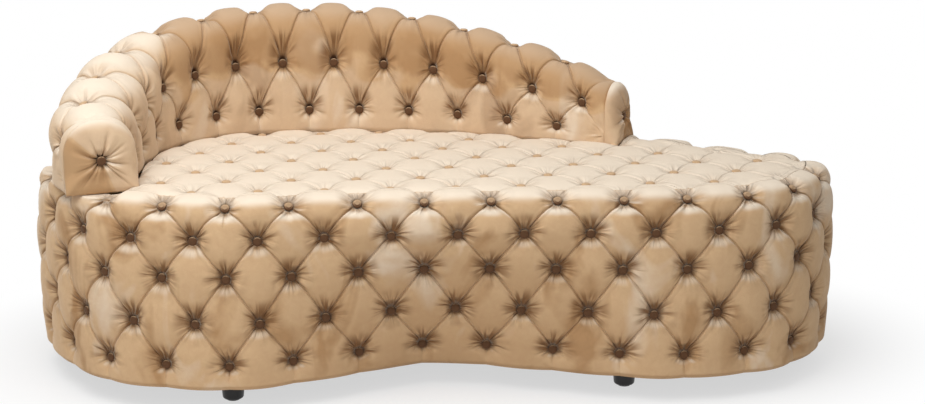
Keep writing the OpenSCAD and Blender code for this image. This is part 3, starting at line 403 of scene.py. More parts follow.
def side_ring(z, inset, steps):
    """Points round the side at one height and one inset, so many to a column."""
    columns = np.arange(SIDE_COLUMNS * steps) / steps
    return side_point(columns, np.full(len(columns), z), np.full(len(columns), inset))


def covered(column):
    """How far the back stands over a column of the side, from 0 to 1."""
    s = np.mod(column, SIDE_COLUMNS) / SIDE_COLUMNS
    return ease((s - COVER_FROM) / COVER_FADE) * ease((COVER_TO - s) / COVER_FADE)


def side_row_z(row):
    """Height of a row of the side's buttons."""
    heights = LEG_Z + (SEAT_Z - LEG_Z) * np.array(SIDE_ROW_SHARES)
    return np.interp(row, np.arange(len(heights)), heights)


def swell(z):
    """How far the side stands out of its outline at a height."""
    return SIDE_SWELL * np.sin(np.pi * np.clip((z - LEG_Z) / (SEAT_Z - LEG_Z), 0, 1))


# The side's section from row -1, on the seat, down to row 1: how far the wells
# and the crowns lie in from the outline, and their heights
SECTION_ROWS = (-1.0, -0.5, -0.26, -0.13, 0.0, 0.25, 0.5, 1.0)
WELL_INSET = (128.0, 82.0, 60.0, 48.0, 36.0, 31.0, 27.6, 25.6)
CROWN_INSET = (128.0, 82.0, 60.0, 39.0, 17.0, 4.5, -2.5, -6.4)
WELL_RISE = (0.0, 0.0, -2.0, -6.0, -14.0, 0.0, 0.0, 0.0)
CROWN_ROWS = SECTION_ROWS + (2.0,)
CROWN_Z = (467.0, 467.0, 467.5, 467.0, 461.5, 441.5, 419.0, 375.9, 295.2)
SECTION_LAST = 1.0
CROWN_LAST = 1.2
CORNER = 0.13


def softly(row, rows, values):
    """Values between stations with the corners rounded off."""
    steps = np.linspace(-1, 1, 9)
    weights = 1 - np.abs(steps) * 0.8
    total = 0
    for step, weight in zip(steps, weights):
        total = total + weight * np.interp(row + step * CORNER, rows, values)
    return total / weights.sum()


def side_lines(column, row, depth):
    """The wells' and the crowns' surfaces of the side."""
    row = np.asarray(row, float)
    z = side_row_z(np.maximum(row, 0))
    low_z = np.where(row < 0, TUFT_Z + np.interp(row, SECTION_ROWS, WELL_RISE), z)
    high_z = np.where(row < CROWN_LAST, softly(row, CROWN_ROWS, CROWN_Z), z)
    plain = swell(z)
    well = np.where(row < SECTION_LAST, np.interp(row, SECTION_ROWS, WELL_INSET), depth - plain)
    crown = np.where(row < SECTION_LAST, softly(row, SECTION_ROWS, CROWN_INSET), -plain)
    cover = covered(column) * ease((1 - row) / PRESSED_ROWS)
    high_z = high_z * (1 - cover) + np.minimum(high_z, TUFT_Z - SOFT_GAP) * cover
    low_z = low_z * (1 - cover) + np.minimum(low_z + PRESSED_RISE, TUFT_Z - PRESSED_GAP) * cover
    return side_point(column, low_z, well), side_point(column, high_z, crown)


def roll_t(column):
    """Parameter of the roll's middle at a column."""
    s = np.clip(column, 0, BACK_COLUMNS) / BACK_COLUMNS * ROLL_S[-1]
    return np.interp(s, ROLL_S, ROLL_T)


def roll_at(column):
    """The roll at a column: its middle in plan, width and height."""
    return spline(ROLL, roll_t(column), False)


def roll_way(column):
    """Direction along the roll, from the arm to the tail."""
    ahead = roll_at(np.minimum(column + NEARBY, BACK_COLUMNS))
    behind = roll_at(np.maximum(column - NEARBY, 0))
    return unit((ahead - behind)[:, :2])


def frame_middle(column):
    """How far the frame's middle stands off the roll's, towards the seat."""
    shares = np.interp(roll_t(column), np.arange(len(FRAME_SHIFT_SHARES)), FRAME_SHIFT_SHARES)
    return shares * roll_at(column)[:, 2]


def back_point(column, across, up):
    """A point of the back's section: across it towards the seat, and up."""
    flat = roll_at(column)[:, :2] + right_of(roll_way(column)) * across[:, None]
    return np.column_stack([flat, TUFT_Z + up])


def roll_section(column, s):
    """The roll's section at a length along it from the seat: across, up and the face's angle."""
    p = roll_at(column)
    r = p[:, 2] / 2
    upright = p[:, 3] - r
    angle = np.clip((s - upright) / r, 0, np.pi)
    across = r * np.cos(angle)
    up = upright + r * np.sin(angle)
    up = np.where(s < upright, s, up)
    up = np.where(s > upright + np.pi * r, upright - (s - upright - np.pi * r), up)
    return across, up, angle


def roll_whole(column):
    """Length of the roll's section from the seat over the crest and down."""
    p = roll_at(column)
    return 2 * (p[:, 3] - p[:, 2] / 2) + np.pi * p[:, 2] / 2


def roll_row(column, row):
    """Length along the roll's section to a row of its buttons, from 0 to 6."""
    p = roll_at(column)
    r, h = p[:, 2] / 2, p[:, 3]
    whole = roll_whole(column)
    crest = (h - r) + np.pi * r * (90 + CREST_LEAN) / 180
    rows = np.stack([0 * h, BACK_LOW * h, BACK_HIGH * h, crest,
                     whole - BACK_HIGH * h, whole - BACK_LOW * h, whole], axis=1)
    i = np.clip(np.floor(row).astype(int), 0, 5)
    n = np.arange(len(row))
    f = row - i
    return rows[n, i] * (1 - f) + rows[n, i + 1] * f


# Tufting

def lattice(column, row):
    """Steps along the two directions of the folds."""
    return column + row / 2, column - row / 2


def arc(x):
    """Height over one tuft, steep at its folds."""
    return np.sqrt(np.clip(1 - (1 - 2 * x) ** 2, 0, 1))


def chance(i, j, k):
    """A steady number from 0 to 1 for a button."""
    x = np.sin(i * 12.9898 + j * 78.233 + k * 37.719) * 43758.5453
    return x - np.floor(x)


def drawn_down(height, away, well):
    """Draws the cloth down to a button and laps it over the button's rim."""
    into = np.clip((away - BUTTON_HOLE) / (well - BUTTON_HOLE), 0, 1)
    height = height * np.sin(into * np.pi / 2) ** WELL_CURVE
    lap = LAP * ease((away - BUTTON_HOLE) / LAP_RISE) * (1 - ease((away - LAP_TO) / LAP_FADE))
    return height + lap * (1 - height)


def wrinkles(away, angle, iu, iv):
    """Height of the small pleats that run out from the buttons, from -1 to 1."""
    wave = 0 * angle
    for count, share in WRINKLES:
        turn = np.pi * chance(iu, iv, count)
        wave += share * (1 - 2 * np.abs(np.sin(count / 2 * angle + turn)))
    fade = WRINKLE_FADE + WRINKLE_CHANCE * chance(iu, iv, 3)
    near = ease((away - WRINKLE_FROM) / WRINKLE_RISE) * (1 - ease((away - WRINKLE_TO) / fade))
    return wave / WRINKLES_HIGH * near


def tuft_height(column, row, pitch, gap, look, skirts=()):
    """Height of the cloth from 0 at a button to 1 on a crown, and the wrinkles' height from -1 to 1.

    skirts holds (row, direction, height at the edge) where the folds run straight on to an edge.
    """
    u, v = lattice(column, row)
    a, b = arc(u - np.floor(u)), arc(v - np.floor(v))
    full = (a * b) ** look.roundness
    fold = look.fold * np.maximum(a, b) ** FOLD_CURVE
    iu, iv = np.round(u), np.round(v)
    for start, way, edge in skirts:
        on = (row - start) * way > 0
        across = arc(column - np.floor(column))
        far = np.clip((row - start) * way, 0, 1)
        down = 1 - (1 - far) ** 2
        full = np.where(on, across ** (2 * look.roundness), full)
        fold = np.where(on, look.fold * across ** FOLD_CURVE * (1 - down) + edge * down, fold)
        iu = np.where(on, np.round(column) + start / 2, iu)
        iv = np.where(on, np.round(column) - start / 2, iv)
    height = full + fold * (1 - full)
    du, dv = u - iu, v - iv
    x = (du + dv) / 2 * pitch
    y = (du - dv) * gap
    away = np.hypot(x, y)
    return drawn_down(height, away, look.well / MM), wrinkles(away, np.arctan2(y, x), iu, iv)


def bowing(column, row):
    """How far each point of a tuft moves with its rounded top: not at all at a button."""
    u, v = lattice(column, row)
    return 1 - (1 - np.abs(np.sin(np.pi * u))) * (1 - np.abs(np.sin(np.pi * v)))


def unevenness(p, height, size):
    """A slow wave over the padding that keeps the tufts from being alike."""
    total = 0
    for way, shift in (((1.3, 2.1, 0.7), 0.5), ((-2.3, 0.9, 1.9), 2.1), ((0.8, -1.7, 2.7), 4.4)):
        total = total + np.sin(p / size @ np.array(way) + shift)
    return height * total / 3


def crowd(t):
    """Moves places along a tuft's edge towards its ends, where the folds are."""
    return t - CROWDING * np.sin(2 * np.pi * t) / (2 * np.pi)


def tuft_tile(top, low, n, skirts=()):
    """One column of flat tufting as a bmesh: x counts columns, y counts rows and the folds lie on edges."""
    bm = bmesh.new()
    u0, u1 = math.floor(top / 2), math.ceil(1 + low / 2)
    v0, v1 = math.floor(-low / 2), math.ceil(1 - top / 2)
    bmesh.ops.create_grid(bm, x_segments=(u1 - u0) * n, y_segments=(v1 - v0) * n, size=1)
    for vert in bm.verts:
        s = (vert.co.x + 1) / 2 * (u1 - u0)
        t = (vert.co.y + 1) / 2 * (v1 - v0)
        s, t = round(s * n) / n, round(t * n) / n
        u = u0 + math.floor(s) + crowd(s - math.floor(s))
        v = v0 + math.floor(t) + crowd(t - math.floor(t))
        vert.co = ((u + v) / 2, u - v, 0)
    for place, normal in (((0, 0, 0), (-1, 0, 0)), ((1, 0, 0), (1, 0, 0)),
                          ((0, top, 0), (0, -1, 0)), ((0, low, 0), (0, 1, 0))):
        bmesh.ops.bisect_plane(bm, geom=bm.verts[:] + bm.edges[:] + bm.faces[:], dist=1e-5,
                               plane_co=place, plane_no=normal, clear_outer=True)
    for start, end in skirts:
        count = max(3, round(n * SKIRT_FACES * abs(end - start)))
        made = bmesh.ops.create_grid(bm, x_segments=n, y_segments=count, size=1)["verts"]
        for vert in made:
            x = crowd(round((vert.co.x + 1) / 2 * n) / n)
            vert.co = (x, start + (end - start) * (vert.co.y + 1) / 2, 0)
    bmesh.ops.remove_doubles(bm, verts=bm.verts, dist=JOIN)
    return bm


def only(kind, geometry):
    """The verts or the edges among what an operator made."""
    return [item for item in geometry if isinstance(item, kind)]


def repeat_tile(bm, places):
    """Copies a tile to each place, counted in columns and rows, and joins the copies."""
    first = bm.verts[:] + bm.edges[:] + bm.faces[:]
    for x, y in places[1:]:
        made = bmesh.ops.duplicate(bm, geom=first)["geom"]
        bmesh.ops.translate(bm, verts=only(bmesh.types.BMVert, made), vec=(x, y, 0))
    bmesh.ops.translate(bm, verts=only(bmesh.types.BMVert, first), vec=(*places[0], 0))
    bmesh.ops.remove_doubles(bm, verts=bm.verts, dist=JOIN)


def tufts_map(mesh, u, v):
    """Gives the mesh the UV map that the velvet's fine pleats follow."""
    index = np.zeros(len(mesh.loops), int)
    mesh.loops.foreach_get("vertex_index", index)
    layer = mesh.uv_layers.new(name="Tufts")
    layer.data.foreach_set("uv", np.column_stack([u, v])[index].astype(np.float32).ravel())


def new_mesh(bm, name):
    """A mesh from a bmesh, and the x and y of its vertices."""
    mesh = bpy.data.meshes.new(name)
    bm.to_mesh(mesh)
    bm.free()
    co = np.zeros(len(mesh.vertices) * 3)
    mesh.vertices.foreach_get("co", co)
    return mesh, co[0::3], co[1::3]


def flat_mesh(bm, name):
    """The flat tufting as a mesh with its lattice as UV map, and its columns and rows."""
    bmesh.ops.recalc_face_normals(bm, faces=bm.faces)
    mesh, column, row = new_mesh(bm, name)
    tufts_map(mesh, *lattice(column, row))
    return mesh, column, row


def place_vertices(mesh, places):
    """Moves the vertices to places in millimetres."""
    mesh.vertices.foreach_set("co", (places * MM).astype(np.float32).ravel())
    mesh.update()


def write_attribute(mesh, name, values):
    """Gives each point a number that the velvet reads."""
    layer = mesh.attributes.new(name, "FLOAT", "POINT")
    layer.data.foreach_set("value", values.astype(np.float32))


def depth_attribute(mesh, height):
    """How deep in a fold each point lies, for the velvet's painted shade in folds and wells."""
    write_attribute(mesh, "fold", 1 - np.clip(height, 0, 1))


def gather_attribute(mesh, row, first, last, share=1.0):
    """Where the fine pleats fan out round the buttons: not beyond the first and last rows."""
    beyond = np.maximum(first - row, row - last)
    write_attribute(mesh, "gather", share * step(beyond, PLEATS_GONE, 0))


def nap_attribute(mesh, against):
    """How the pile is brushed: 1 against the light, and below zero with it."""
    write_attribute(mesh, "nap", against - WITH_LIGHT * (1 - against))


def reopen(mesh, join):
    """The mesh as a bmesh again, with points joined that lie so near, in metres."""
    bm = bmesh.new()
    bm.from_mesh(mesh)
    bmesh.ops.remove_doubles(bm, verts=bm.verts, dist=join)
    return bm


def write_back(bm, mesh):
    """Writes the closed bmesh to the mesh, and how far each point faces up, for the velvet's painted light
    and shade.
    """
    bmesh.ops.recalc_face_normals(bm, faces=bm.faces)
    bm.to_mesh(mesh)
    bm.free()
    normals = np.zeros(len(mesh.vertices) * 3, np.float32)
    mesh.vertices.foreach_get("normal", normals)
    write_attribute(mesh, "upward", normals[2::3])
    return mesh


def drawn(low, high, height, wave, wrinkle, bulge):
    """Cloth between the wells' and the crowns' surfaces."""
    way = high - low
    normal = unit(way + 1e-9)
    lift = wave * wrinkle + bulge * ease(height)
    return low + way * height[:, None] + normal * lift[:, None]


def finish_piece(name, mesh, fill, *nodes):
    old = bpy.data.objects.get(name)
    if old:
        bpy.data.objects.remove(old)
    piece = bpy.data.objects.new(name, mesh)
    bpy.context.scene.collection.objects.link(piece)
    mesh.materials.append(bpy.data.materials["velvet_cut_pile"])
    mesh.polygons.foreach_set("use_smooth", np.ones(len(mesh.polygons), bool))
    mesh.update()
    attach(piece, "root")
    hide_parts(*nodes)


def open_loops(bm):
    """The open edges of a bmesh in chains, highest first."""
    left = {e for e in bm.edges if e.is_boundary}
    loops = []
    while left:
        edge = left.pop()
        loop, ends = [edge], list(edge.verts)
        while ends:
            vert = ends.pop()
            for other in vert.link_edges:
                if other in left:
                    left.remove(other)
                    loop.append(other)
                    ends.append(other.other_vert(vert))
        loops.append(loop)
    loops.sort(key=lambda es: -sum(e.verts[0].co.z for e in es) / len(es))
    return loops


def extrude_loop(bm, edges):
    """Extrudes an open edge, and returns its new vertices and edges."""
    made = bmesh.ops.extrude_edge_only(bm, edges=edges)["geom"]
    return only(bmesh.types.BMVert, made), only(bmesh.types.BMEdge, made)


# The side

def side_padding_mesh(look):
    """The side's tufting, from inside the seat's edge down to the hem."""
    bm = tuft_tile(SIDE_TOP, SIDE_LAST, look.segments, [(SIDE_LAST, SIDE_LAST + 1)])
    repeat_tile(bm, [(i, 0) for i in range(SIDE_COLUMNS)])
    mesh, column, row = flat_mesh(bm, "side_padding")
    gap = np.where(row < 0, SEAT_ROW_GAP, np.interp(row, np.arange(len(SIDE_GAPS)), SIDE_GAPS))
    height, wave = tuft_height(
        column, row, SIDE_S[-1] / SIDE_COLUMNS, gap, look, [(SIDE_LAST, 1, SIDE_HEM)])
    rise = bowing(column, row) * step(row, *SIDE_TOPS_IN) * step(row, *SIDE_TOPS_OUT)
    low, high = side_lines(column, row - look.bow / MM / gap * rise, look.side_depth / MM)
    flat_under_back = covered(column) * step(row, *SIDE_FLAT)
    calm = step(row, *SIDE_CALM)
    bulge = unevenness(high, *SIDE_UNEVEN) * (1 - flat_under_back) * calm
    places = drawn(low, high, height, wave * calm, look.wrinkle / MM, bulge)
    tuck = HEM_TUCK * step(row, *SIDE_TUCK)
    z = places[:, 2]
    places = places + (side_point(column, z, tuck) - side_point(column, z, 0 * tuck))
    depth_attribute(mesh, height)
    gather_attribute(mesh, row, SIDE_TOP, SIDE_LAST)
    place_vertices(mesh, places)
    bm = reopen(mesh, WELD)
    close_side(bm)
    return write_back(bm, mesh)


def close_side(bm):
    """Closes the side's padding under its hem and up its inner face."""
    top, edges = open_loops(bm)[:2]
    start = side_ring(LEG_Z, HEM_TUCK, RING_STEPS)
    for z in (LEG_Z, BOARD_Z):
        end = side_ring(z, SIDE_PAD_T - SOFT_GAP, RING_STEPS)
        verts, edges = extrude_loop(bm, edges)
        xy = np.array([v.co[:2] for v in verts]) / MM
        near = np.argmin(np.linalg.norm(xy[:, None, :] - start[None, :, :2], axis=2), axis=1)
        for vert, k in zip(verts, near):
            vert.co = Vector(end[k]) * MM
        start = end
    bmesh.ops.bridge_loops(bm, edges=top + edges)


# The seat

def edge_of_back():
    """The line where the seat meets the back along the roll."""
    c = np.linspace(0, BACK_COLUMNS, BACK_COLUMNS * 12 + 1)
    return back_point(c, roll_at(c)[:, 2] / 2 + SOFT_GAP, 0 * c)[:, :2]


def beside_end(column, facing, across, away):
    """A point round an end of the roll: across it and away from it, as shares of its halves."""
    c = np.array([float(column)])
    p = back_point(c, across * roll_at(c)[:, 2] / 2 + SOFT_GAP, 0 * c)[0, :2]
    return p + roll_way(c)[0] * facing * (END_PAD_T * away + SOFT_GAP)


def line_of_back():
    """The line where the seat meets the back: round the arm, along the roll and round the tail."""
    arm = [beside_end(0, -1, *place) for place in ((-1.2, 1.0), (1, 1.0), (1, 0.35))]
    tail = [beside_end(BACK_COLUMNS, 1, *place) for place in ((1, 0.35), (0.82, 1.0), (-1.4, 1.0))]
    return np.vstack([arm, edge_of_back(), tail])


def inside(points, ring):
    """Which points lie inside a closed ring."""
    x, y = points[:, 0], points[:, 1]
    hit = np.zeros(len(points), bool)
    for (ax, ay), (bx, by) in zip(ring, np.roll(ring, -1, axis=0)):
        if ay != by:
            hit ^= ((ay > y) != (by > y)) & (x < (bx - ax) * (y - ay) / (by - ay) + ax)
    return hit


def nearest_on(points, ring):
    """For each point the nearest one of a closed ring, the steps along the ring to it, and how far."""
    best = np.full(len(points), np.inf)
    place = points.copy()
    along = np.zeros(len(points))
    for i, (a, b) in enumerate(zip(ring, np.roll(ring, -1, axis=0))):
        d = b - a
        size = d @ d
        if size == 0:
            continue
        t = np.clip(((points - a) @ d) / size, 0, 1)
        q = a + t[:, None] * d
        far = np.linalg.norm(points - q, axis=1)
        closer = far < best
        best = np.where(closer, far, best)
        place = np.where(closer[:, None], q, place)
        along = np.where(closer, i + t, along)
    return place, along, best


def crossing(p, q, a, b):
    """Where the line from p to q crosses the one from a to b, as a share of p to q, or None."""
    r, s = q - p, b - a
    bottom = r[0] * s[1] - r[1] * s[0]
    if abs(bottom) < 1e-12:
        return None
    t = ((a - p)[0] * s[1] - (a - p)[1] * s[0]) / bottom
    w = ((a - p)[0] * r[1] - (a - p)[1] * r[0]) / bottom
    return t if 0 <= t <= 1 and 0 <= w <= 1 else None


def first_crossing(line, ring):
    """Where a line first crosses a closed ring: the step of each that crosses, and the point."""
    for i in range(len(line) - 1):
        for j in range(len(ring)):
            t = crossing(line[i], line[i + 1], ring[j], ring[(j + 1) % len(ring)])
            if t is not None:
                return i, j, line[i] + (line[i + 1] - line[i]) * t
    raise RuntimeError("the back's line doesn't meet the side")


def seat_polygon():
    """The seat's own closed outline: from the arm round the front and right, and back along the roll."""
    ring = side_ring(BOARD_Z, SIDE_PAD_T, SEAT_RING_STEPS)[:, :2]
    line = line_of_back()
    i0, j0, p0 = first_crossing(line, ring)
    i1, j1, p1 = first_crossing(line[::-1], ring)
    along = line[i0 + 1:len(line) - 1 - i1]
    front = [ring[(j0 + 1 + k) % len(ring)] for k in range((j1 - j0) % len(ring))]
    return np.vstack([[p0], front, [p1], along[::-1]])


def seat_xy(column, row):
    """Places on the seat in plan."""
    return np.column_stack([SEAT_X0 + column * SEAT_PITCH, SEAT_Y0 + row * SEAT_ROW_GAP])


def seat_height(xy, look):
    """Height of the seat's cloth, its wrinkles and how high it lies between well and crown."""
    column = (xy[:, 0] - SEAT_X0) / SEAT_PITCH
    row = (xy[:, 1] - SEAT_Y0) / SEAT_ROW_GAP
    height, wave = tuft_height(column, row, SEAT_PITCH, SEAT_ROW_GAP, look)
    z = TUFT_Z + look.seat_depth / MM * height
    # near its edge the seat follows the side's first row of tufts
    _, steps, far = nearest_on(xy, side_ring(BOARD_Z, 0.0, RING_STEPS)[:, :2])
    side_column = steps / RING_STEPS
    side_row = -(far - TOP_ROW_INSET) / SEAT_ROW_GAP
    rim_height, rim_wave = tuft_height(
        side_column, side_row, SIDE_S[-1] / SIDE_COLUMNS, SEAT_ROW_GAP, look)
    low, high = side_lines(side_column, np.minimum(side_row, 0), look.side_depth / MM)
    rim_z = low[:, 2] + (high[:, 2] - low[:, 2]) * rim_height
    share = 1 - ease((far - RIM_FROM) / RIM_FADE)
    return (own * (1 - share) + rim * share
            for own, rim in ((z, rim_z), (wave, rim_wave), (height, rim_height)))


def seat_tiles(outline):
    """The tiles of the seat's grid that its outline reaches, each a column wide and two rows deep."""
    column = (outline[:, 0] - SEAT_X0) / SEAT_PITCH
    row = (outline[:, 1] - SEAT_Y0) / SEAT_ROW_GAP
    places = []
    for y in range(2 * math.floor(row.min() / 2), math.ceil(row.max()), 2):
        for x in range(math.floor(column.min()), math.ceil(column.max())):
            xs, ys = np.meshgrid(np.linspace(x, x + 1, 9), np.linspace(y, y + 2, 13))
            if inside(seat_xy(xs.ravel(), ys.ravel()), outline).any():
                places.append((x, y))
    return places


def seat_padding_mesh(look):
    """The seat's tufting, cut to its outline and let down to its foam."""
    outline = seat_polygon()
    bm = tuft_tile(0, 2, look.seat_segments)
    repeat_tile(bm, seat_tiles(outline))
    co = np.array([v.co[:2] for v in bm.verts])
    keep = dict(zip(bm.verts[:], inside(seat_xy(co[:, 0], co[:, 1]), outline)))
    gone = [f for f in bm.faces if not any(keep[v] for v in f.verts)]
    bmesh.ops.delete(bm, geom=gone, context="FACES")
    mesh, column, row = flat_mesh(bm, "seat_padding")
    # points outside move to the outline
    xy = seat_xy(column, row)
    within = inside(xy, outline)
    near, _, far = nearest_on(xy, outline)
    xy = np.where(within[:, None], xy, near)
    far = np.where(within, far, 0)
    z, wave, height = seat_height(xy, look)
    calm = ease(far / SEAT_CALM)
    places = np.column_stack([xy, z + wave * calm * look.wrinkle / MM * SEAT_WRINKLE])
    places[:, 2] += unevenness(places, *SEAT_UNEVEN) * calm
    # the cloth turns down into the crease beside the back
    back_line = edge_of_back()
    from_back = nearest_on(xy, np.vstack([back_line, back_line[::-1]]))[2]
    places[:, 2] -= CREASE_DEPTH * (1 - ease(from_back / CREASE_WIDTH)) ** 1.5
    depth_attribute(mesh, 1 - (1 - height) * SEAT_SHADE)
    gather_attribute(mesh, row, row.min(), row.max(), SEAT_SHADE)
    place_vertices(mesh, places)
    bm = reopen(mesh, SEAT_WELD)
    bmesh.ops.dissolve_degenerate(bm, dist=1e-6, edges=bm.edges[:])
    verts, edges = extrude_loop(bm, open_loops(bm)[0])
    for vert in verts:
        vert.co.z = (SEAT_PAD_Z + SOFT_GAP) * MM
    bmesh.ops.triangle_fill(bm, edges=edges, use_beauty=True, normal=(0, 0, -1))
    return write_back(bm, mesh)


# The back

def back_padding_mesh(look):
    """The roll's tufting, from the seat over the crest and down the outside."""
    last = BACK_LAST
    bm = tuft_tile(0, last, look.segments, [(0, -1), (last, last + 1)])
    repeat_tile(bm, [(i, 0) for i in range(BACK_COLUMNS)])
    mesh, column, row = flat_mesh(bm, "back_padding")
    pitch = ROLL_S[-1] / BACK_COLUMNS
    gap = np.interp(row + 1, np.arange(len(BACK_GAPS)), BACK_GAPS)
    height, wave = tuft_height(
        column, row, pitch, gap, look, [(0, -1, BACK_HEM), (last, 1, BACK_HEM)])
    # the rounded tops rise towards the crest from both sides
    from_crest = np.abs(row - BACK_MIDDLE)
    rise = bowing(column, row) * np.clip((BACK_MIDDLE - row) / BACK_TOPS_FULL, -1, 1)
    rise = rise * step(from_crest, *BACK_TOPS_OUT)
    s = roll_row(column, row + 1 + look.bow / MM / gap * rise)
    across, up, angle = roll_section(column, s)
    near_end = np.minimum(column, BACK_COLUMNS - column)
    height = 1 - (1 - height) * step(near_end, *BACK_TUFTS_IN)
    depth = look.back_depth / MM
    low = back_point(column, across - depth * np.cos(angle), up - depth * np.sin(angle))
    high = back_point(column, across, up)
    places = drawn(low, high, height, wave, look.wrinkle / MM, unevenness(high, *BACK_UNEVEN))
    # the roll rounds over at its two ends and draws in at its foot
    round_over = 1 - np.clip(near_end * pitch / BACK_PULL_FROM, 0, 1)
    pull = BACK_PULL * (1 - np.sqrt(np.clip(1 - round_over ** 2, 0, 1)))
    foot = BACK_PULL * step(from_crest, *BACK_FOOT)
    places = places + unit(low - high) * (pull + foot)[:, None]
    depth_attribute(mesh, 1 - (1 - height) * BACK_SHADE)
    gather_attribute(mesh, row, 0, last, step(near_end, *BACK_PLEATS_IN) * BACK_SHADE)
    # the crest was brushed against the light, from the fourth tuft to the tail
    edge = unevenness(high, *BRUSHED_EDGE)
    nap_attribute(mesh, step(column + edge, *BRUSHED_IN) * step(from_crest - edge, *BRUSHED_OUT))
    place_vertices(mesh, places)
    bm = bmesh.new()
    bm.from_mesh(mesh)
    close_back(bm)
    return write_back(bm, mesh)


def close_back(bm):
    """Lines the back's padding with its inner face, which lies on the frame's bent walls."""
    up_steps, over_steps = 2, 8
    total = over_steps + 2 * up_steps
    made = bmesh.ops.create_grid(bm, x_segments=BACK_COLUMNS * 8, y_segments=total, size=1)["verts"]
    column = np.array([(v.co.x + 1) / 2 * BACK_COLUMNS for v in made])
    turn = np.array([(v.co.y + 1) / 2 * total for v in made])
    crest = roll_at(column)[:, 3] - CREST_PAD_T - FRAME_R
    r = FRAME_R + SOFT_GAP
    angle = np.radians(np.clip((turn - up_steps) / over_steps, 0, 1) * 180)
    across = frame_middle(column) + r * np.cos(angle)
    up = crest + r * np.sin(angle)
    up = np.where(turn < up_steps, crest * turn / up_steps, up)
    up = np.where(turn > total - up_steps, crest * (total - turn) / up_steps, up)
    for vert, p in zip(made, back_point(column, across, up) * MM):
        vert.co = p
    inner = set(made)
    left = [e for e in bm.edges if e.is_boundary]
    inner_edges = [e for e in left if e.verts[0] in inner]
    outer_edges = [e for e in left if e.verts[0] not in inner]
    bmesh.ops.bridge_loops(bm, edges=inner_edges + outer_edges)


def end_relief(spin, far, height):
    """How far an end's face stands out in millimetres, and how deep its pleats lie.

    spin runs round the face, far from its button to the rim, and height up it as a share.
    """
    dome = (1 - np.clip(far, 0, 1) ** 2.8) ** 0.5
    lift = (dome - 0.55 * step(far, 0.34, 0) + 0.02) * END_PAD_T
    # the face stands square on the seat
    foot_lift = np.interp(far, (0.5, 0.82, 0.95, 1.0), (0.97, 0.95, 0.9, 0.8)) * END_PAD_T
    low_down = step(height, 0.3, 0) * step(far, 0.4, 0.7)
    lift = lift * (1 - low_down) + foot_lift * low_down
    pleat = 0 * spin
    for count, share, turn in END_PLEATS:
        pleat += share * (1 - np.abs(np.sin(count / 2 * spin + turn)) ** 0.5)
    pleat = pleat * step(far, 0, 0.14) * step(far, 0.95, 0.25)
    lift = lift - END_PLEAT_DEPTH * pleat + 1.2 * np.sin(3 * spin + 1.0) * step(far, 0, 0.3)
    return np.maximum(lift, END_LEAST_LIFT), pleat


def end_padding_mesh(name, column, facing):
    """A padded face that closes one end of the roll, gathered in pleats to its button."""
    bm = bmesh.new()
    bmesh.ops.create_grid(bm, x_segments=END_AROUND, y_segments=END_OUT, size=1)
    mesh, x, y = new_mesh(bm, name)
    turn = (x + 1) / 2
    far = ((y + 1) / 2) ** 0.8
    c = np.full(len(x), float(column))
    width, height = roll_at(c)[:, 2], roll_at(c)[:, 3]
    # the rim runs over the roll's section and back along its foot
    whole = roll_whole(c)
    s = turn * (whole + width)
    across, up, _ = roll_section(c, np.minimum(s, whole))
    on_foot = s > whole
    across = np.where(on_foot, -width / 2 + (s - whole), across)
    up = np.where(on_foot, 0.0, up)
    rim = np.column_stack([across, up])
    middle = np.column_stack([0 * across, END_BUTTON * height])
    spin = turn * 2 * np.pi
    lift, pleat = end_relief(spin, far, up / height)
    flat = middle + (rim - middle) * (far * (1 - 0.015 * (far > 0.999)))[:, None]
    way = roll_way(c) * facing
    places = back_point(c, flat[:, 0], flat[:, 1])
    places = places + np.column_stack([way * lift[:, None], 0 * lift])
    tufts_map(mesh, 0 * turn + 0.5, 0 * turn + 0.5)
    # painted shade in the end's pleats and round its button
    depth_attribute(mesh, 1 - 0.45 * pleat - 0.75 * step(far, 0.25, 0.05))
    # brushed against the light at the outer side and its foot
    nap_attribute(mesh, step(np.cos(spin - 4.4), 0.2, 0.4))
    place_vertices(mesh, places)
    bm = reopen(mesh, WELD)
    verts, edges = extrude_loop(bm, open_loops(bm)[0])
    # the rim goes straight back to the roll's end, where a flat face closes it
    outward = Vector((*way[0], 0))
    centre = Vector(back_point(c[:1], middle[:1, 0], middle[:1, 1])[0]) * MM
    for vert in verts:
        vert.co = vert.co - outward * ((vert.co - centre).dot(outward) - SOFT_GAP * MM)
    bmesh.ops.contextual_create(bm, geom=edges)
    return write_back(bm, mesh)


# Finishes

def add_node(tree, kind, inputs=(), stops=(), **settings):
    """Adds a shader node and returns its outputs.

    Its inputs, in order or by name or number, are values or other nodes' outputs. Its stops are a
    ramp's places and colours, and its settings are properties of the node.
    """
    node = tree.nodes.new("ShaderNode" + kind)
    for name, value in settings.items():
        setattr(node, name, value)
    for place, value in inputs.items() if isinstance(inputs, dict) else enumerate(inputs):
        if isinstance(value, bpy.types.NodeSocket):
            tree.links.new(value, node.inputs[place])
        else:
            node.inputs[place].default_value = value
    for place, colour in stops:
        node.color_ramp.elements.new(place).color = colour
    for end in (0, -1)[:len(stops)]:
        node.color_ramp.elements.remove(node.color_ramp.elements[end])
    return node.outputs


def new_material(name):
    """An empty material in place of any of its name, and its node tree."""
    old = bpy.data.materials.get(name)
    if old:
        bpy.data.materials.remove(old)
    material = bpy.data.materials.new(name)
    material.use_nodes = True
    tree = material.node_tree
    tree.nodes.clear()
    return material, tree


def product(tree, *factors):
    """Multiplies numbers and outputs. An output may come with the smooth slope that it is read through:
    where the slope starts and ends, and its value at each, which are otherwise 0 and 1."""
    total = 1.0
    for factor in factors:
        if isinstance(factor, tuple):
            factor = add_node(tree, "MapRange", factor, interpolation_type="SMOOTHSTEP")[0]
        total = add_node(tree, "Math", (total, factor), operation="MULTIPLY")[0]
    return total


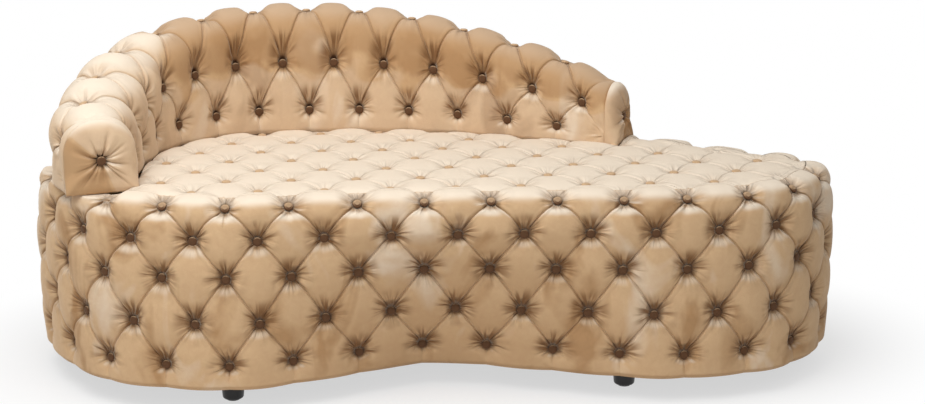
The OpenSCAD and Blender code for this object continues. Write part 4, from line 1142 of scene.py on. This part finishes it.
def tinted(tree, colour, tone, *factors):
    """Mixes a tone into a colour by a product of factors."""
    return add_node(tree, "Mix", {0: product(tree, *factors), 6: colour, 7: tone}, data_type="RGBA")[2]


def seen_ray(tree):
    """1 for a ray that shows the backdrop itself: from the camera, off a gloss or through glass."""
    path = add_node(tree, "LightPath")
    seen = path["Is Camera Ray"]
    for kind in ("Is Glossy Ray", "Is Transmission Ray"):
        seen = add_node(tree, "Math", (seen, path[kind]), operation="MAXIMUM")[0]
    return seen


def fine_pleats(tree, gather):
    """The cloth's fine pleats: their height in millimetres, and the share of painted shade in the fans
    round the buttons.
    """
    tufts = add_node(tree, "UVMap", uv_map="Tufts")[0]
    # the nearest button of the lattice, and the way from it in millimetres
    raised = add_node(tree, "VectorMath", (tufts, (0.5, 0.5, 0.0)), operation="ADD")[0]
    button = add_node(tree, "VectorMath", [raised], operation="FLOOR")[0]
    off = add_node(tree, "VectorMath", (tufts, button), operation="SUBTRACT")[0]
    flat = add_node(tree, "CombineXYZ", [
        add_node(tree, "VectorMath", (off, way), operation="DOT_PRODUCT")["Value"]
        for way in ((PLEAT_PITCH / 2, PLEAT_PITCH / 2, 0), (PLEAT_ROW_GAP, -PLEAT_ROW_GAP, 0))])[0]
    away = add_node(tree, "VectorMath", [flat], operation="LENGTH")["Value"]
    # noise on a ring about each button, so that its cells are drawn out into spokes
    spoke = add_node(tree, "VectorMath", [flat], operation="NORMALIZE")[0]
    shift = add_node(tree, "CombineXYZ", {"Z": product(tree, away, 0.012)})[0]
    shift = add_node(tree, "VectorMath", (button, (5.17, 3.71, 0.0), shift), operation="MULTIPLY_ADD")[0]
    spoke = add_node(tree, "VectorMath", (spoke, (2.6, 2.6, 0.0), shift), operation="MULTIPLY_ADD")[0]
    streaks = add_node(tree, "TexNoise", {
        "Vector": spoke, "Scale": 1.3, "Detail": 1.5, "Roughness": 0.55})["Fac"]
    reach = product(tree, (away, 7.0, 15.0), (away, 20.0, 54.0, 1.0, 0.0), gather)
    lips = 0.0
    sides = add_node(tree, "SeparateXYZ", [off])
    for across in (sides["X"], sides["Y"]):
        # one side of a fold laps over the other, up to 13 mm from the crease
        far = product(tree, add_node(tree, "Math", [across], operation="ABSOLUTE")[0], PLEAT_FOLDS)
        lip = product(tree, (far, 0.0, 3.0), (far, 4.0, 13.0, 1.0, 0.0))
        lips = add_node(tree, "Math", (lip, LIP_HIGH, lips), operation="MULTIPLY_ADD")[0]
    lips = product(tree, lips, gather, (away, 12.0, 26.0))
    fans = product(tree, streaks, FAN_HIGH, reach)
    height = add_node(tree, "Math", (fans, lips), operation="ADD")[0]
    # the fans' painted shade lies where their streaks run low, in the pleats' troughs
    return height, product(tree, (streaks, 0.56, 0.4), reach)


def brushed_nap(tree, place, colours):
    """The velvet's colour in patches, drawn out along the hand's stroke that brushed its pile."""
    velvet = tuple(colours.velvet)
    stroke = add_node(tree, "Mapping", {
        "Vector": place, "Scale": (1.0, 1.0, 0.55), "Rotation": (0.3, 0.5, 0.2)})[0]
    patches = add_node(tree, "TexNoise", {
        "Vector": stroke, "Scale": 1 / (PATCH * MM), "Detail": 3.0, "Roughness": 0.5,
        "Distortion": 0.7})["Fac"]
    return add_node(tree, "ValToRGB", [patches], stops=(
        (0.34, tuple(colours.velvet_dark_nap_and_painted_shade)), (0.45, velvet), (0.58, velvet),
        (0.85, tuple(colours.velvet_light_nap_and_painted_light))))[0]


def tufted(tree, colour, colours):
    """Paints light and shade and the brushed nap into the padding's velvet; returns its colour and its fine
    pleats' height.
    """
    light, dark = tuple(colours.velvet_light_nap_and_painted_light), tuple(colours.velvet_dark_nap_and_painted_shade)
    up, against, fold, gather = (
        add_node(tree, "Attribute", attribute_name=name)["Fac"]
        for name in ("upward", "nap", "fold", "gather"))
    pleats, fans = fine_pleats(tree, gather)
    for tone, *factors in (
            # painted light on pile that faces up, and painted shade under the swell where it faces down
            (light, (up, 0.35, 0.95, 0.0, 0.95)),
            (dark, (up, -0.6, 0.05, 0.6, 0.0)),
            # brushed against the light, or with it
            (dark, (against, 0.0, 1.0, 0.0, 0.75)),
            (light, (against, 0.0, -1.0, 0.0, 0.6)),
            # painted shade in folds, wells and the fans of pleats, less of it in a well or a pleat that
            # opens upwards
            (dark, (fold, 0.3, 0.62, 0.0, 0.3)),
            (tuple(colours.velvet_well_painted_shade), (fold, 0.44, 0.72, 0.0, 0.95), (up, 0.1, 0.75, 1.0, 0.4)),
            (tuple(colours.velvet_pleat_painted_shade), fans, (up, -0.3, 0.4, 0.95, 0.25))):
        colour = tinted(tree, colour, tone, *factors)
    return colour, pleats


def lit_button(tree, colour, place, colours):
    """Lightens the buttons that catch the light: where one faces up, as on the shoulder, and all of
    the crest's, which lie above a plane that rises to the rear."""
    normal = add_node(tree, "NewGeometry")["Normal"]
    facing = add_node(tree, "SeparateXYZ", [normal])["Z"]
    parts = add_node(tree, "SeparateXYZ", [place])
    above = add_node(tree, "Math", (parts["Y"], -0.13, parts["Z"]), operation="MULTIPLY_ADD")[0]
    shares = (product(tree, (facing, 0.45, 0.9, 0.0, 0.8)), product(tree, (above, 0.596, 0.6)))
    lit = add_node(tree, "Math", shares, operation="MAXIMUM")[0]
    # painted light, in the seat buttons' lit tone
    return tinted(tree, colour, tuple(colours.seat_button), lit)


def velvet_material(name, colours, own=None):
    """Cut-pile polyester velvet on the padding or, with a colour of its own, drawn tight on a button.

    The pile gives a soft sheen at the edges of forms and faint patches where it was brushed another
    way; its folds and wells get painted shade, darker and redder, and faces that turn up painted light.
    """
    material, tree = new_material(name)
    place = add_node(tree, "TexCoord")["Object"]
    pile, crush = (
        add_node(tree, "TexNoise", {
            "Vector": place, "Scale": 1 / (size * MM), "Detail": detail, "Roughness": 0.6,
            "Distortion": distortion})["Fac"]
        for size, detail, distortion in ((PILE, 1.0, 0.0), (CRUSH, 3.0, 0.6)))
    nap = brushed_nap(tree, place, colours) if own is None else tuple(own)
    colour = add_node(
        tree, "Mix", {0: 0.14, 6: nap, 7: crush}, data_type="RGBA", blend_type="OVERLAY")[2]
    relief = add_node(tree, "Math", (pile, 0.25, product(tree, crush, 0.5)), operation="MULTIPLY_ADD")[0]
    if own is None:
        colour, pleats = tufted(tree, colour, colours)
        relief = add_node(tree, "Math", (relief, pleats), operation="ADD")[0]
    else:
        colour = lit_button(tree, colour, place, colours)
    bump = add_node(tree, "Bump", {"Height": relief, "Strength": 1.0, "Distance": MM})[0]
    shader = add_node(tree, "BsdfPrincipled", {
        "Base Color": colour, "Normal": bump, "Roughness": 0.82, "Specular IOR Level": 0.25,
        "Sheen Weight": 0.35, "Sheen Roughness": 0.38, "Sheen Tint": linear("#FFF0DC")})[0]
    add_node(tree, "OutputMaterial", {"Surface": shader})
    return material


def solid_material(name, light, dark, size, stretch, roughness, relief, metallic=0.0):
    """A grained or mottled solid: two close colours in a pattern, and its relief, both in millimetres."""
    material, tree = new_material(name)
    place = add_node(tree, "TexCoord")["Object"]
    drawn_out = add_node(tree, "Mapping", {"Vector": place, "Scale": stretch})[0]
    grain = add_node(tree, "TexNoise", {
        "Vector": drawn_out, "Scale": 1 / (size * MM), "Detail": 4.0})["Fac"]
    colour = add_node(tree, "ValToRGB", [grain], stops=((0.3, linear(dark)), (0.7, linear(light))))[0]
    bump = add_node(tree, "Bump", {"Height": grain, "Strength": 0.3, "Distance": relief * MM})[0]
    rough = add_node(tree, "MapRange", {
        "Value": grain, "To Min": roughness - 0.06, "To Max": roughness + 0.06})[0]
    shader = add_node(tree, "BsdfPrincipled", {
        "Base Color": colour, "Roughness": rough, "Metallic": metallic, "Normal": bump})[0]
    add_node(tree, "OutputMaterial", {"Surface": shader})
    return material


def give(material, *names):
    """Gives CAD nodes a finish."""
    for name in names:
        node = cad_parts[name]
        node.data.materials.clear()
        node.data.materials.append(material)


SIDES = ("front", "right", "rear", "left")
EVEN = (1, 1, 1)
# What has each finish of the frame, and the finish: its name, light and dark tone, size of its
# pattern in millimetres and how that is stretched, roughness, relief in millimetres and metallic
FINISHES = (
    # turned beech under black lacquer: a soft gloss, with the grain just showing up the foot
    (("leg_front_left", "leg_front_right", "leg_left", "leg_right", "leg_rear_left", "leg_rear_right"),
     ("beech_black_lacquer", "#242120", "#141211", 5.6, (1, 1, 0.2), 0.32, 0.2)),
    # moulded nylon: dull dark grey, almost even
    (("leg_glides",), ("moulded_nylon", "#434345", "#333335", 2.5, EVEN, 0.45, 0.1)),
    # zinc plate on steel: bright, with a faint cloudiness
    (("leg_bolts", "leg_tee_nuts", "back_bolts", "back_washers", "back_nuts"),
     ("zinc_plated_steel", "#C4C7CA", "#9EA2A6", 3.3, EVEN, 0.35, 0.1, 1.0)),
    # woven polypropylene: matt black, its threads drawn 1 mm wide so that they show
    (("dust_cover",), ("woven_black_cloth", "#2C2C30", "#1B1B1E", 1.1, EVEN, 0.9, 0.4)),
    # birch plywood: pale and smooth, with broad figure along the sheet
    (("base_board", "seat_board", "long_web", *(f"cross_web_{i}" for i in range(1, 6)), "back_sill",
      "back_ribs", "back_inner_wall", "back_outer_wall", "back_crest_wall"),
     ("birch_plywood", "#E0C598", "#C9A877", 28.6, (0.15, 1, 1), 0.6, 0.4)),
    # sawn pine: warm and yellow, with its growth rings up the stud
    (("wall_studs",), ("sawn_pine", "#E8D3A6", "#CFB07C", 22.2, (1, 1, 0.12), 0.7, 0.8)),
    # pressed hardboard: brown and dense, flecked with fibre
    (tuple(f"wall_{side}" for side in SIDES),
     ("pressed_hardboard", "#94704C", "#7A5B3B", 3.8, EVEN, 0.75, 0.3)),
    # cut foam: matt cream, with open cells
    (("seat_foam",), ("cut_foam", "#F2EACF", "#E4D9B4", 3.1, EVEN, 0.95, 1.0)),
    # waxed twine: off-white, with strands along it
    (("side_button_ties", "seat_button_ties", "back_button_ties"),
     ("waxed_twine", "#ECE8DD", "#CFC8B6", 2.0, (1, 1, 0.3), 0.7, 0.3)),
)


# Operators

class COUCH_OT_side_padding(bpy.types.Operator):
    """Makes the deep-buttoned padding round the side, and its velvet"""

    bl_idname = "couch.side_padding"
    bl_label = "Side padding"

    def execute(self, context):
        scene = context.scene
        velvet_material("velvet_cut_pile", scene.couch_colours)
        mesh = side_padding_mesh(scene.couch_tufting)
        finish_piece("side_padding", mesh, 0.8, *(f"side_pad_{side}" for side in SIDES))
        return {"FINISHED"}


class COUCH_OT_seat_padding(bpy.types.Operator):
    """Makes the buttoned seat"""

    bl_idname = "couch.seat_padding"
    bl_label = "Seat padding"

    def execute(self, context):
        mesh = seat_padding_mesh(context.scene.couch_tufting)
        finish_piece("seat_padding", mesh, 0.7, "seat_pad")
        return {"FINISHED"}


class COUCH_OT_back_padding(bpy.types.Operator):
    """Makes the buttoned roll of the back"""

    bl_idname = "couch.back_padding"
    bl_label = "Back padding"

    def execute(self, context):
        mesh = back_padding_mesh(context.scene.couch_tufting)
        finish_piece("back_padding", mesh, 0.8, "back_inner_pad", "back_outer_pad")
        return {"FINISHED"}


class COUCH_OT_end_padding(bpy.types.Operator):
    """Makes the pleated faces at the arm and the tail"""

    bl_idname = "couch.end_padding"
    bl_label = "End faces"

    def execute(self, context):
        for name, column, facing in (("arm", 0, -1), ("tail", BACK_COLUMNS, 1)):
            mesh = end_padding_mesh(f"{name}_face", column, facing)
            finish_piece(f"{name}_face", mesh, 0.8, f"{name}_end_pad")
        return {"FINISHED"}


class COUCH_OT_frame_finishes(bpy.types.Operator):
    """Gives the buttons, the feet and the frame inside their finishes"""

    bl_idname = "couch.frame_finishes"
    bl_label = "Frame finishes"

    def execute(self, context):
        colours = context.scene.couch_colours
        # the side's and the back's buttons in painted shade, with painted light where they catch it
        give(velvet_material("velvet_on_buttons_painted_shade_and_light", colours, colours.button), "side_buttons", "back_buttons")
        # the seat's buttons in the painted lit tone
        give(velvet_material("velvet_on_seat_buttons_painted_light", colours, colours.seat_button), "seat_buttons")
        for names, finish in FINISHES:
            give(solid_material(*finish), *names)
        return {"FINISHED"}


class COUCH_OT_studio(bpy.types.Operator):
    """Sets the camera, the floor, the backdrop and the light"""

    bl_idname = "couch.studio"
    bl_label = "Studio"

    def execute(self, context):
        scene = context.scene
        studio = scene.couch_studio
        scene.view_settings.view_transform = "Standard"
        data = bpy.data.cameras.new("camera")
        data.lens = studio.lens
        data.sensor_width = 36.0
        camera = bpy.data.objects.new("camera", data)
        scene.collection.objects.link(camera)
        camera.location = studio.camera_place
        camera.rotation_euler = Vector(studio.camera_aim).to_track_quat("-Z", "Y").to_euler()
        scene.camera = camera
        self.floor(scene)
        self.lamps(scene, studio)
        self.backdrop(scene, studio)
        return {"FINISHED"}

    def floor(self, scene):
        """A pale painted floor that keeps a soft shadow, and runs out into white away from the couch."""
        bm = bmesh.new()
        bmesh.ops.create_grid(bm, x_segments=1, y_segments=1, size=9)
        mesh, _, _ = new_mesh(bm, "studio_floor")
        floor = bpy.data.objects.new("studio_floor", mesh)
        scene.collection.objects.link(floor)
        material, tree = new_material("painted_floor")
        place = add_node(tree, "TexCoord")["Object"]
        mottle = add_node(tree, "TexNoise", {"Vector": place, "Scale": 2.0})["Fac"]
        colour = add_node(
            tree, "ValToRGB", [mottle], stops=((0.3, linear("#EDEDED")), (0.7, linear("#F0F0F0"))))[0]
        matt = add_node(tree, "BsdfDiffuse", {"Color": colour})[0]
        white = add_node(tree, "Emission", {"Strength": 1.0})[0]
        wide = add_node(tree, "Mapping", {"Vector": place, "Scale": (1.0, 1.6, 1.0)})[0]
        length = add_node(tree, "VectorMath", [wide], operation="LENGTH")["Value"]
        share = product(tree, (length, 0.86, 1.3, 0.62, 1.0), seen_ray(tree))
        surface = add_node(tree, "MixShader", (share, matt, white))[0]
        add_node(tree, "OutputMaterial", {"Surface": surface})
        mesh.materials.append(material)

    def lamps(self, scene, studio):
        """Two round soft lamps, given in metres."""
        for name, power, size, place, aim in (
                ("overhead", studio.overhead, 2.6, (-0.8, -1.0, 2.8), (0.0, 0.0, 0.3)),
                ("front", studio.front, 2.4, (-1.2, -3.6, 1.9), (0.0, 0.0, 0.35))):
            data = bpy.data.lights.new(name, "AREA")
            data.energy = power
            data.size = size
            data.shape = "DISK"
            lamp = bpy.data.objects.new(name, data)
            scene.collection.objects.link(lamp)
            lamp.location = place
            lamp.rotation_euler = (Vector(aim) - Vector(place)).to_track_quat("-Z", "Y").to_euler()

    def backdrop(self, scene, studio):
        """White to the eye, and an even light of its own strength on the couch."""
        world = bpy.data.worlds.new("studio")
        world.use_nodes = True
        scene.world = world
        tree = world.node_tree
        tree.nodes.clear()
        strength = add_node(tree, "MapRange", {
            "Value": seen_ray(tree), "To Min": studio.room, "To Max": 1.0})[0]
        light = add_node(tree, "Background", {"Color": linear("#FFFFFF"), "Strength": strength})[0]
        add_node(tree, "OutputWorld", {"Surface": light})


class COUCH_PT_sidebar(bpy.types.Panel):
    """The couch's pieces and settings in the sidebar"""

    bl_label = "Fainting couch"
    bl_idname = "COUCH_PT_sidebar"
    bl_space_type = "VIEW_3D"
    bl_region_type = "UI"
    bl_category = "Couch"

    def draw(self, context):
        for operator in OPERATORS:
            self.layout.operator(operator.bl_idname)
        for name in GROUPS:
            group = getattr(context.scene, name)
            box = self.layout.box()
            for setting in group.__annotations__:
                box.prop(group, setting)


GROUPS = {
    "couch_tufting": CouchTufting,
    "couch_colours": CouchColours,
    "couch_studio": CouchStudio,
}
OPERATORS = (
    COUCH_OT_studio,
    COUCH_OT_side_padding,
    COUCH_OT_seat_padding,
    COUCH_OT_back_padding,
    COUCH_OT_end_padding,
    COUCH_OT_frame_finishes,
)
CLASSES = (*GROUPS.values(), *OPERATORS, COUCH_PT_sidebar)


def register():
    for cls in CLASSES:
        bpy.utils.register_class(cls)
    for name, group in GROUPS.items():
        setattr(bpy.types.Scene, name, PointerProperty(type=group))


def unregister():
    for name in GROUPS:
        delattr(bpy.types.Scene, name)
    for cls in reversed(CLASSES):
        bpy.utils.unregister_class(cls)


def plain(bounds):
    return [[float(x) for x in corner] for corner in bounds]


def main():
    register()
    bpy.ops.couch.studio()
    bpy.ops.couch.side_padding()
    bpy.ops.couch.seat_padding()
    bpy.ops.couch.back_padding()
    bpy.ops.couch.end_padding()
    bpy.ops.couch.frame_finishes()


if __name__ == "__main__":
    main()
